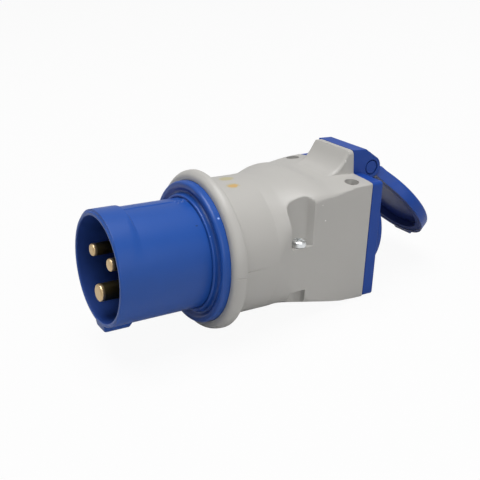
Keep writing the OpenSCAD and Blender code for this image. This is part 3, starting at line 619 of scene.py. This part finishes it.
def sleeve_skin(s):
    """Points and faces of the sleeve with its flange, pad, key lug and rib.

    The outline turns about the axis. On the outside each direction's radius
    is the largest of three: the round; the round lifted by the pad's height;
    and the lug, which is the least of its bottom, side and chamfer planes.
    """
    rows, on = sleeve_rows(s)
    half = math.asin(s.key / 2 / s.radius)
    turn = spaced(-math.pi / 2, math.pi / 2, 0.033, (-math.pi / 2 + half, 0.06, 25), (math.pi / 2, 0.1, 41))
    angle = np.concatenate([turn, math.pi - turn[-2:0:-1]])
    radius, y = np.repeat(rows[:, :1], len(angle), 1), np.repeat(rows[:, 1:], len(angle), 1)
    along = y - MOUTH_Y
    up = np.clip(np.sin(angle), 0, 1)

    # the pad's rear step is crisp on top and fades down the sides
    soft = MM * (0.25 + 9 * (1 - up))
    lift = s.pad * up**3 * (1 - ramp01(along, s.pad_length - soft, s.pad_length + 0.15 * MM))

    # the rib's edges run ragged where the mould's parts met near the root
    x = s.radius * np.cos(angle)
    ragged = ramp01(y, -6 * MM, -4 * MM)
    ripple = np.sin(y / MM * 3.1 + 1) + 0.7 * np.sin(y / MM * 7.3)
    wide = MM * (0.5 + ragged * (0.7 + 0.6 * ripple))
    rib = s.rib * ramp01(wide - np.abs(x - 0.3 * MM * ragged * ripple), -0.12 * MM, 0.12 * MM)
    rib = rib * ramp01(along, s.pad_length - 0.3 * MM, s.pad_length) * (up > 0.5)
    rounded = radius + np.maximum(lift, rib)

    # the lug has a round nose, a sloped rear end and chamfered edges
    low, side = -np.sin(angle), np.abs(np.cos(angle))
    nose, edge = 1.4 * MM, 0.9 * MM
    ahead = np.clip(1 - (along - 0.7 * MM) / nose, 0, 1)
    height = s.key_height - nose * (1 - np.sqrt(1 - ahead**2))
    height = np.minimum(height, (s.key_length - along) * 1.3 + 0.3 * MM)
    bottom = s.radius + height
    lug = np.minimum(bottom / np.maximum(low, 1e-3), s.key / 2 / np.maximum(side, 1e-3))
    lug = smooth_min(lug, (s.key / 2 + bottom - edge) / np.maximum(low + side, 1e-3), 0.25 * MM)
    lugged = smooth_max(rounded, lug, 0.3 * MM)
    reach = (low > 0.8) & (along > 0.65 * MM) & (height > 0)
    radius = np.where(on[:, None], np.where(reach, np.maximum(rounded, lugged), rounded), radius)
    points = np.stack([radius * np.cos(angle), y, radius * np.sin(angle)], -1)
    return points.reshape(-1, 3), grid_faces(len(rows), len(angle), around=True)


# --- Finishes -------------------------------------------------------------


def node(tree, kind, inputs=None, **settings):
    """Adds a shader node. Inputs maps an input's name or number to its value, or to an output to join."""
    made = tree.nodes.new(kind)
    for name, value in settings.items():
        setattr(made, name, value)
    for key, value in (inputs or {}).items():
        feed(tree, made.inputs[key], value)
    return made


def feed(tree, target, value):
    """Sets an input to a value, or joins it to an output."""
    if isinstance(value, bpy.types.NodeSocket):
        tree.links.new(value, target)
    else:
        target.default_value = value


def maths(tree, operation, *values):
    """Adds a Math node and gives its output."""
    return node(tree, "ShaderNodeMath", dict(enumerate(values)), operation=operation).outputs[0]


def centred(tree, noise):
    """A noise's strength less its mean of a half."""
    return maths(tree, "SUBTRACT", noise.outputs["Fac"], 0.5)


def new_group(name, inputs, outputs):
    """A node group of (name, kind, default) inputs and (name, kind) outputs, and the sockets at its ends."""
    group = bpy.data.node_groups.new(name, "ShaderNodeTree")
    for label, kind, default in inputs:
        group.interface.new_socket(label, in_out="INPUT", socket_type=kind).default_value = default
    for label, kind in outputs:
        group.interface.new_socket(label, in_out="OUTPUT", socket_type=kind)
    return group, node(group, "NodeGroupInput").outputs, node(group, "NodeGroupOutput").inputs


def surface_group():
    """Surface of plastic or metal: slow mottling of tone, patches of other gloss, a fine grain as height."""
    name = "Surface"
    if name in bpy.data.node_groups:
        return bpy.data.node_groups[name]
    group, start, end = new_group(
        name,
        (("Colour", "NodeSocketColor", (0.5, 0.5, 0.5, 1)), ("Tone", "NodeSocketFloat", 0.05),
         ("Gloss", "NodeSocketFloat", 0.4), ("Gloss change", "NodeSocketFloat", 0.08),
         ("Grain size", "NodeSocketFloat", 0.3)),
        (("Colour", "NodeSocketColor"), ("Roughness", "NodeSocketFloat"), ("Height", "NodeSocketFloat")))
    at = node(group, "ShaderNodeTexCoord").outputs["Object"]
    slow = node(group, "ShaderNodeTexNoise", {"Vector": at, "Scale": 55, "Detail": 4, "Roughness": 0.55})
    fine = node(group, "ShaderNodeTexNoise", {"Vector": at, "Scale": 2600, "Detail": 2})
    patch = node(group, "ShaderNodeTexNoise", {"Vector": at, "Scale": 170, "Detail": 5, "Roughness": 0.62})
    tone = maths(group, "MULTIPLY_ADD", centred(group, slow), start["Tone"], 1)
    tint = node(group, "ShaderNodeVectorMath", {0: start["Colour"], "Scale": tone}, operation="SCALE")
    feed(group, end["Colour"], tint.outputs[0])
    rough = maths(group, "MULTIPLY_ADD", centred(group, patch), start["Gloss change"], start["Gloss"])
    feed(group, end["Roughness"], rough)
    height = maths(group, "MULTIPLY_ADD", fine.outputs["Fac"], start["Grain size"], patch.outputs["Fac"])
    feed(group, end["Height"], height)
    return group


def mark_and_highlight_group():
    """Mask of one ragged spot, for stains and painted highlights alike: 1 within an ellipsoid round its
    centre, its edge broken up by noise.
    """
    name = "Mark"
    if name in bpy.data.node_groups:
        return bpy.data.node_groups[name]
    group, start, end = new_group(
        name,
        (("Centre", "NodeSocketVector", (0, 0, 0)), ("Size", "NodeSocketVector", (MM, MM, MM)),
         ("Ragged", "NodeSocketFloat", 0.8)),
        (("Mask", "NodeSocketFloat"),))
    at = node(group, "ShaderNodeTexCoord").outputs["Object"]
    apart = node(group, "ShaderNodeVectorMath", {0: at, 1: start["Centre"]}, operation="SUBTRACT")
    share = node(group, "ShaderNodeVectorMath", {0: apart.outputs[0], 1: start["Size"]}, operation="DIVIDE")
    far = node(group, "ShaderNodeVectorMath", {0: share.outputs[0]}, operation="LENGTH")
    patch = node(group, "ShaderNodeTexNoise", {"Vector": at, "Scale": 900, "Detail": 3, "Roughness": 0.6})
    edge = maths(group, "MULTIPLY_ADD", centred(group, patch), start["Ragged"], far.outputs["Value"])
    mask = node(group, "ShaderNodeMapRange",
                {"Value": edge, "From Min": 0.75, "From Max": 1.1, "To Min": 1, "To Max": 0},
                interpolation_type="SMOOTHSTEP")
    feed(group, end["Mask"], mask.outputs["Result"])
    return group


def mixed(tree, share, under, over):
    """Mixes two colours by a share and gives the colour."""
    return node(tree, "ShaderNodeMix", {0: share, 6: under, 7: over}, data_type="RGBA").outputs[2]


def marked_and_highlighted(tree, under, marks_and_highlights):
    """Lays ragged spots over a colour, stains, specks and scratches as well as painted highlights, each
    (centre mm, size mm, colour, strength); gives the new colour.
    """
    for centre, size, rgb, strength in marks_and_highlights:
        shape = {"Centre": [c * MM for c in centre], "Size": [c * MM for c in size]}
        mask = node(tree, "ShaderNodeGroup", shape, node_tree=mark_and_highlight_group())
        share = maths(tree, "MULTIPLY", mask.outputs["Mask"], strength)
        under = mixed(tree, share, under, (*rgb, 1))
    return under


def material(name):
    """A material with its tree and its Principled shader's inputs."""
    made = bpy.data.materials.new(name)
    made.use_nodes = True
    return made, made.node_tree, made.node_tree.nodes["Principled BSDF"].inputs


def surface(tree, shader, values, strength, relief, edge):
    """Puts the surface group on a shader with its grain as bump, and gives the group's colour.

    The values are the group's inputs. An edge over 0 rounds the shading of the edges.
    """
    group = node(tree, "ShaderNodeGroup", values, node_tree=surface_group()).outputs
    bump = node(tree, "ShaderNodeBump", {"Strength": strength, "Distance": relief, "Height": group["Height"]})
    if edge:
        rounded = node(tree, "ShaderNodeBevel", {"Radius": edge}, samples=6)
        feed(tree, bump.inputs["Normal"], rounded.outputs[0])
    feed(tree, shader["Normal"], bump.outputs[0])
    feed(tree, shader["Roughness"], group["Roughness"])
    return group["Colour"]


def plastic(name, rgb, gloss, edge=0.2 * MM, tone=0.05, relief=0.02 * MM, specular=0.5, marks_and_highlights=()):
    """Moulded plastic, with ragged spots laid over its colour, some of them painted highlights."""
    made, tree, shader = material(name)
    values = {"Colour": (*rgb, 1), "Tone": tone, "Gloss": gloss}
    plain_colour = surface(tree, shader, values, 0.35, relief, edge)
    feed(tree, shader["Base Color"], marked_and_highlighted(tree, plain_colour, marks_and_highlights))
    feed(tree, shader["Specular IOR Level"], specular)
    return made


def metal(name, rgb, gloss, shaft_shade=None):
    """Machined metal with dull patches. The last argument, (station, colour), paints the metal that colour
    behind that station, as painted shade and dark reflection.
    """
    made, tree, shader = material(name)
    feed(tree, shader["Metallic"], 1)
    values = {"Colour": (*rgb, 1), "Tone": 0.35, "Gloss": gloss, "Gloss change": 0.3}
    metal_colour = surface(tree, shader, values, 0.4, 0.02 * MM, 0.15 * MM)
    # behind the station the colour is a painted shade and dark reflection
    if shaft_shade:
        station, dull = shaft_shade
        at = node(tree, "ShaderNodeTexCoord").outputs["Object"]
        y = node(tree, "ShaderNodeSeparateXYZ", {0: at}).outputs["Y"]
        span = {"Value": y, "From Min": station - 0.5 * MM, "From Max": station + 0.5 * MM}
        behind = node(tree, "ShaderNodeMapRange", span, interpolation_type="SMOOTHSTEP")
        metal_colour = mixed(tree, behind.outputs["Result"], metal_colour, (*dull, 1))
    feed(tree, shader["Base Color"], metal_colour)
    return made


def paint(piece, finish, other=None, where=None):
    """Gives every face of a piece one finish, but the faces of a mask the other."""
    slots = piece.data.materials
    slots.clear()
    slots.append(finish)
    if other:
        slots.append(other)
        piece.data.polygons.foreach_set("material_index", where.astype(np.int32))


def paint_node(name, finish):
    """Gives a CAD node that stays in view its finish."""
    piece = frame["nodes"][name]
    for slot in piece.material_slots:
        slot.material = finish
    if not piece.material_slots:
        piece.data.materials.append(finish)


def plain(name):
    """A node's name as words."""
    return name.replace("_", " ").capitalize()


# --- Operators ------------------------------------------------------------


class ADAPTOR_OT_stage(bpy.types.Operator):
    """Adds the camera, the floor and the lights"""

    bl_idname = "adaptor.stage"
    bl_label = "Stage"

    def camera(self, s):
        """A camera that looks along the direction of its settings."""
        data = bpy.data.cameras.new("Camera")
        data.lens = s.lens
        data.sensor_width = 36
        data.clip_start, data.clip_end = 0.01, 20
        camera = bpy.data.objects.new("Camera", data)
        level = math.cos(s.elevation)
        back = Vector((math.sin(s.azimuth) * level, -math.cos(s.azimuth) * level, math.sin(s.elevation)))
        camera.rotation_mode = "QUATERNION"
        turn = Matrix.Rotation(s.roll, 3, "Z").to_quaternion()
        camera.rotation_quaternion = (-back).to_track_quat("-Z", "Y") @ turn
        camera.location = s.place
        return camera

    def floor(self, s):
        """A plane under the adaptor, which rests on its collar and on the frame's lower edge."""
        slope = (COLLAR_R - BOTTOM_Z) / (FRAME_Y - COLLAR_Y)
        crest, gap, size = COLLAR_Y + 2.6 * MM, 0.1 * MM, 3.0
        mesh = bpy.data.meshes.new("floor")
        corners = [(x, y, -COLLAR_R + (y - crest) * slope - gap)
                   for x, y in ((-size, -size), (size, -size), (size, size), (-size, size))]
        mesh.from_pydata(corners, [], [(0, 1, 2, 3)])
        made, tree, shader = material("White floor")
        feed(tree, shader["Base Color"], (*s.floor, 1))
        feed(tree, shader["Roughness"], 0.9)
        # white where it is seen, while it takes and gives light as a pale floor
        path = node(tree, "ShaderNodeLightPath").outputs
        share = maths(tree, "MULTIPLY", path["Is Glossy Ray"], 0.08)
        share = maths(tree, "MULTIPLY_ADD", path["Is Camera Ray"], 0.94, share)
        glow = node(tree, "ShaderNodeEmission", {"Strength": 1})
        matt = tree.nodes["Principled BSDF"].outputs[0]
        both = node(tree, "ShaderNodeMixShader", {0: share, 1: matt, 2: glow.outputs[0]})
        feed(tree, tree.nodes["Material Output"].inputs["Surface"], both.outputs[0])
        mesh.materials.append(made)
        return bpy.data.objects.new("floor", mesh)

    def world(self):
        """A weak even light that looks white to the camera and fairly bright in reflections."""
        world = bpy.data.worlds.new("Studio")
        world.use_nodes = True
        tree = world.node_tree
        white = (1, 1, 1, 1)
        light = tree.nodes["Background"]
        feed(tree, light.inputs["Color"], white)
        feed(tree, light.inputs["Strength"], 0.11)
        seen = node(tree, "ShaderNodeBackground", {"Color": white, "Strength": 1})
        path = node(tree, "ShaderNodeLightPath").outputs
        share = maths(tree, "MULTIPLY_ADD", path["Is Glossy Ray"], 0.4, path["Is Camera Ray"])
        both = node(tree, "ShaderNodeMixShader", {0: share, 1: light.outputs[0], 2: seen.outputs[0]})
        feed(tree, tree.nodes["World Output"].inputs["Surface"], both.outputs[0])
        return world

    def lamp(self, name, where, watts):
        """A square lamp that points at the adaptor's middle."""
        middle = Vector((0, 0.03, 0))
        data = bpy.data.lights.new(name, "AREA")
        data.shape, data.size, data.energy = "SQUARE", 0.8, watts
        lamp = bpy.data.objects.new(name, data)
        lamp.location = where
        lamp.rotation_mode = "QUATERNION"
        lamp.rotation_quaternion = (middle - Vector(where)).to_track_quat("-Z", "Y")
        return lamp

    def execute(self, context):
        s = context.scene.adaptor_stage
        camera, floor = self.camera(s), self.floor(s)
        lamps = [self.lamp("Top light", (0, -0.14, 1.1), 13.6),
                 self.lamp("Side light", (0.95, -0.05, 0.5), 3.8),
                 self.lamp("Front light", (-0.4, -0.9, 0.35), 0.6)]
        for thing in (camera, floor, *lamps):
            context.scene.collection.objects.link(thing)
        context.scene.camera = camera
        context.scene.world = self.world()
        context.scene.view_settings.view_transform = "Standard"
        return {"FINISHED"}


class ADAPTOR_OT_shells(bpy.types.Operator):
    """Builds the two grey shells"""

    bl_idname = "adaptor.shells"
    bl_label = "Body shells"

    def marks_and_highlights(self, s):
        """Two stains on the neck, pale specks on the side, and painted highlights on the fairing's edge and
        on the collar.
        """
        pale = (0.9, 0.9, 0.88)
        return (((-0.5, 18.7, 27.9), (2.4, 3.2, 2), s.old_stain, 0.8),
                ((6.4, 17.6, 27.1), (1.9, 3, 2), s.old_stain, 0.6),
                ((6.6, 17.6, 27.1), (1.2, 2.4, 2), s.stain, 0.95),
                ((25, 49.5, 13.7), (0.8, 0.4, 0.3), pale, 0.8),
                ((25, 47.6, 20.4), (1, 0.25, 0.3), pale, 0.6),
                # painted highlights along the fairing's edge and on the collar
                ((11.6, 68.9, 32.2), (1, 0.2, 0.7), pale, 0.5),
                ((12.5, 64.2, 28.2), (1.2, 0.5, 0.5), pale, 0.6),
                ((24.1, 7.4, 18.3), (0.5, 0.35, 1.1), pale, 0.8))

    def rear_wells(self, s, shell):
        """Bores the mouths of the wells over the rear screws, then hangs a cup under each."""
        inner, floor, mouth = s.rear_well, s.rear_well_floor, s.rear_well_top
        wide, outer, core = inner + 0.3 * MM, inner + 1.3 * MM, 0.3 * MM
        bore = ((inner, floor), (inner, mouth - 0.7 * MM), (wide, mouth + 0.3 * MM), (wide, mouth + 4 * MM))
        cup = ((core, floor - MM), (outer, floor - MM), (outer, mouth - MM), (inner, mouth - MM),
               (inner, floor), (core, floor))
        centres = [(side * (HALF_W - s.rear_well_in), FRAME_Y - s.rear_well_y) for side in (-1, 1)]
        for centre in centres:
            cut(shell, *turned(bore, centre))
        for centre in centres:
            add(shell, *turned(cup, centre))

    def execute(self, context):
        s = context.scene.adaptor_body
        grey = plastic("Grey plastic", s.colour, 0.42, 0, relief=0.03 * MM, marks_and_highlights=self.marks_and_highlights(s))
        for up, name in ((1, "upper_shell"), (-1, "lower_shell")):
            shell = new_piece(name + "_skin", *shell_mesh(s, up), "adaptor", "grey_plastic", (name,))
            if up > 0:
                self.rear_wells(s, shell)
            paint(shell, grey)
            shade(shell)
        return {"FINISHED"}


class ADAPTOR_OT_plug(bpy.types.Operator):
    """Builds the blue sleeve and finishes its pins"""

    bl_idname = "adaptor.plug"
    bl_label = "Plug"

    def pin_holes(self, s):
        """Bars along the axis, a little thinner than the pins, that open the base where the pins run."""
        bars = []
        for name in PINS:
            low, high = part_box(name)
            thin = (high[0] - low[0]) / 2 - 0.9 * MM
            bars.append(turned([(thin, -s.hub - MM), (thin, MM - s.base)],
                               ((low[0] + high[0]) / 2, (low[2] + high[2]) / 2)))
        points, faces = merged(bars)
        return points[:, [0, 2, 1]] * [1, -1, 1], faces

    def execute(self, context):
        s = context.scene.adaptor_plug
        # painted highlights on the bead and on the flange's rim, and a dark scratch on the sleeve near its
        # root
        glint, speck = (0.35, 0.5, 0.9), (0.01, 0.03, 0.1)
        marks_and_highlights = (((19, 0.5, 12.9), (0.35, 0.3, 0.75), glint, 0.8),
                 ((19.9, 3.4, 20.3), (0.35, 0.5, 0.6), glint, 0.8),
                 ((14.4, -2.6, 16.6), (0.5, 0.6, 0.25), speck, 0.8))
        sleeve = new_piece("plug_sleeve_skin", *sleeve_skin(s), "adaptor", "blue_plastic", ("plug_sleeve",))
        cut(sleeve, *self.pin_holes(s))
        faces = np.array([f.center for f in sleeve.data.polygons])
        # the faces inside the bore take a darker, duller copy of the blue as painted shade
        reach, depth = s.radius - s.wall + 0.1 * MM, s.base + 0.1 * MM
        within = (np.hypot(faces[:, 0], faces[:, 2]) < reach) & (faces[:, 1] < depth)
        blue = plastic("Blue sleeve plastic", s.colour, 0.32, s.edge, tone=0.1, specular=0.35, marks_and_highlights=marks_and_highlights)
        paint(sleeve, blue, plastic("Bore plastic, painted shade", s.bore, 0.5, 0, tone=0.1, specular=0.2), within)
        shade(sleeve)
        for name in PINS:
            # the pins' shafts behind their tips take a painted shade and dark reflection of the bore
            tip = corner(name, 0, "y") + 1.6 * MM
            paint_node(name, metal(plain(name), s.brass, 0.38, (tip, s.shaft_shade)))
        return {"FINISHED"}


class ADAPTOR_OT_socket(bpy.types.Operator):
    """Builds the socket's frame and what it holds"""

    bl_idname = "adaptor.socket"
    bl_label = "Socket"

    def execute(self, context):
        s = context.scene.adaptor_socket
        blue = plastic("Blue frame plastic", s.colour, 0.4, s.edge, tone=0.08, specular=0.25)
        paint(softened("socket_flange", "socket_blue", s.edge), blue)

        # the pin's ends are a little thinner, which leaves a fine groove round them
        low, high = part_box("hinge_pin")
        radius, end, gap = (high[2] - low[2]) / 2, high[0], 0.4 * MM
        half = [(radius - gap, end), (radius - gap, end - gap), (radius - gap, end - MM), (radius, end - MM)]
        points, faces = turned([(r, -x) for r, x in half] + half[::-1])
        points = points[:, [2, 0, 1]] + [0, HINGE[1], HINGE[2]]
        body = frame["nodes"]["hinge_pin"]["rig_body"]
        pin = new_piece("hinge_pin_skin", points, faces, body, "socket_blue", ("hinge_pin",))
        paint(pin, blue)
        shade(pin)
        paint_node("socket_insert", plastic("Insert plastic", (0.72, 0.72, 0.7), 0.5, 0.3 * MM))
        return {"FINISHED"}


class ADAPTOR_OT_lid(bpy.types.Operator):
    """Builds the hinged lid and its seal"""

    bl_idname = "adaptor.lid"
    bl_label = "Lid"

    def inside(self, lid):
        """Which faces of the lid lie in the drum that its seal fills, down to the floor behind the seal.

        The drum's axis is the direction in which the ring of the seal is thinnest.
        """
        seal = np.array([v.co for v in frame["nodes"]["lid_seal"].data.vertices])
        middle = np.array([0, *seal[:, 1:].mean(0)])
        thin = np.linalg.svd((seal - middle)[:, 1:], full_matrices=False)[2][1]
        axis = np.array([0, *thin]) * np.sign(thin.sum())
        depth = ((seal - middle) @ axis).max()
        faces = np.array([f.center for f in lid.data.polygons]) - middle
        along = faces @ axis
        out = np.linalg.norm(faces - along[:, None] * axis, axis=1)
        return (out < np.abs(seal[:, 0]).max() + 0.2 * MM) & (along < depth + 0.1 * MM)

    def execute(self, context):
        s = context.scene.adaptor_socket
        lid = softened("lid", "lid_blue", s.edge)
        # the faces inside the lid take a darker, duller copy of its blue as painted shade
        paint(lid, plastic("Blue lid plastic", s.lid, 0.36, s.edge, tone=0.08, specular=0.25),
              plastic("Lid inside painted shade", s.inside, 0.26, 0, tone=0.08, relief=0.1 * MM, specular=0.14),
              self.inside(lid))
        paint_node("lid_seal", plastic("Seal rubber", s.rubber, 0.6, specular=0.25))
        return {"FINISHED"}


class ADAPTOR_OT_fittings(bpy.types.Operator):
    """Builds the front screws and finishes the other screws, the terminals, the clip and the wires"""

    bl_idname = "adaptor.fittings"
    bl_label = "Fittings"

    def front_screws(self, node_name, head):
        """The pan-head screws of a CAD node, one at each side, with a cross recess in heads of that radius.

        A screw is its outline turned about its axis: shank, straight rim and
        a quarter of an ellipse as its dome. The recess is two crossed bars.
        """
        low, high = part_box(node_name)
        old_head = (high[1] - low[1]) / 2
        x, y = high[0] - old_head, (low[1] + high[1]) / 2
        top, foot = high[2] + 0.8 * MM, low[2]
        dome, rim, shank = 1.1 * MM, 1.6 * MM, 1.3 * MM
        under = top - dome - rim
        profile = np.concatenate([[(0.8 * MM, foot), (shank, foot + MM), (shank, under), (head, under)],
                                  arc((0, top - dome), (head, dome), 0, 78.75, 8), [(0.02 * MM, top)]])
        pair = merged([turned(profile, (side * x, y), 40) for side in (-1, 1)])
        screws = new_piece(node_name + "_skin", *pair, "adaptor", "zinc_steel", (node_name,))
        box = np.array([(i, j, k) for k in (-0.9, 1) for j in (-1, 1) for i in (-1, 1)], float)
        box *= [0.72 * head, 0.4 * MM, MM]
        sides = [(0, 1, 3, 2), (4, 5, 7, 6), (0, 1, 5, 4), (2, 3, 7, 6), (0, 2, 6, 4), (1, 3, 7, 5)]
        for side in (-1, 1):
            for turn in (0.5, 0.5 + math.pi / 2):
                slot = box @ np.array(Matrix.Rotation(turn, 3, "Z")).T + [side * x, y, top]
                cut(screws, slot, sides)
        return shade(screws)

    def execute(self, context):
        zinc = metal("Zinc plate", (0.62, 0.63, 0.64), 0.25)
        brass = metal("Contact brass", context.scene.adaptor_plug.brass, 0.38)
        screws = self.front_screws("front_shell_screws", 2.95 * MM)
        paint(screws, metal("Bright zinc", (0.85, 0.87, 0.88), 0.3))
        for name in ("retainer_screw", "pin_terminal_screws", "rear_shell_screws",
                     "frame_screws", "insert_screw", "socket_terminal_screws"):
            paint_node(name, zinc)
        for name in ("line_contact", "neutral_contact"):
            paint_node(name, brass)
        paint_node("earth_clip", metal("Nickel plate", (0.66, 0.62, 0.55), 0.3))
        paint_node("pin_retainer", plastic("Retainer plastic", (0.02, 0.04, 0.12), 0.5))
        for name, rgb in (("line_wire", (0.12, 0.045, 0.016)), ("neutral_wire", (0.02, 0.1, 0.4)),
                          ("earth_wire", (0.15, 0.32, 0.03))):
            paint_node(name, plastic(plain(name), rgb, 0.4))
        return {"FINISHED"}


class ADAPTOR_PT_panel(bpy.types.Panel):
    """Lists the adaptor's pieces"""

    bl_idname = "ADAPTOR_PT_panel"
    bl_label = "Plug Adaptor"
    bl_space_type = "VIEW_3D"
    bl_region_type = "UI"
    bl_category = "Adaptor"

    def draw(self, context):
        for kind in OPERATORS:
            self.layout.operator(kind.bl_idname)
        for name in SETTINGS:
            group = getattr(context.scene, name)
            box = self.layout.box()
            for prop in group.bl_rna.properties:
                if prop.identifier not in ("rna_type", "name"):
                    box.prop(group, prop.identifier)


OPERATORS = (ADAPTOR_OT_stage, ADAPTOR_OT_shells, ADAPTOR_OT_plug, ADAPTOR_OT_socket, ADAPTOR_OT_lid,
             ADAPTOR_OT_fittings)
SETTINGS = {"adaptor_body": BodySettings, "adaptor_plug": PlugSettings, "adaptor_socket": SocketSettings,
            "adaptor_stage": StageSettings}


def register():
    for kind in (*SETTINGS.values(), *OPERATORS, ADAPTOR_PT_panel):
        bpy.utils.register_class(kind)
    for name, kind in SETTINGS.items():
        setattr(bpy.types.Scene, name, PointerProperty(type=kind))


def unregister():
    for name in SETTINGS:
        delattr(bpy.types.Scene, name)
    for kind in (ADAPTOR_PT_panel, *reversed(OPERATORS), *reversed(list(SETTINGS.values()))):
        bpy.utils.unregister_class(kind)


def main():
    """Builds the whole adaptor."""
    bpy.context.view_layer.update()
    register()
    bpy.ops.adaptor.stage()
    bpy.ops.adaptor.shells()
    bpy.ops.adaptor.plug()
    bpy.ops.adaptor.socket()
    bpy.ops.adaptor.lid()
    bpy.ops.adaptor.fittings()


if __name__ == "__main__":
    main()
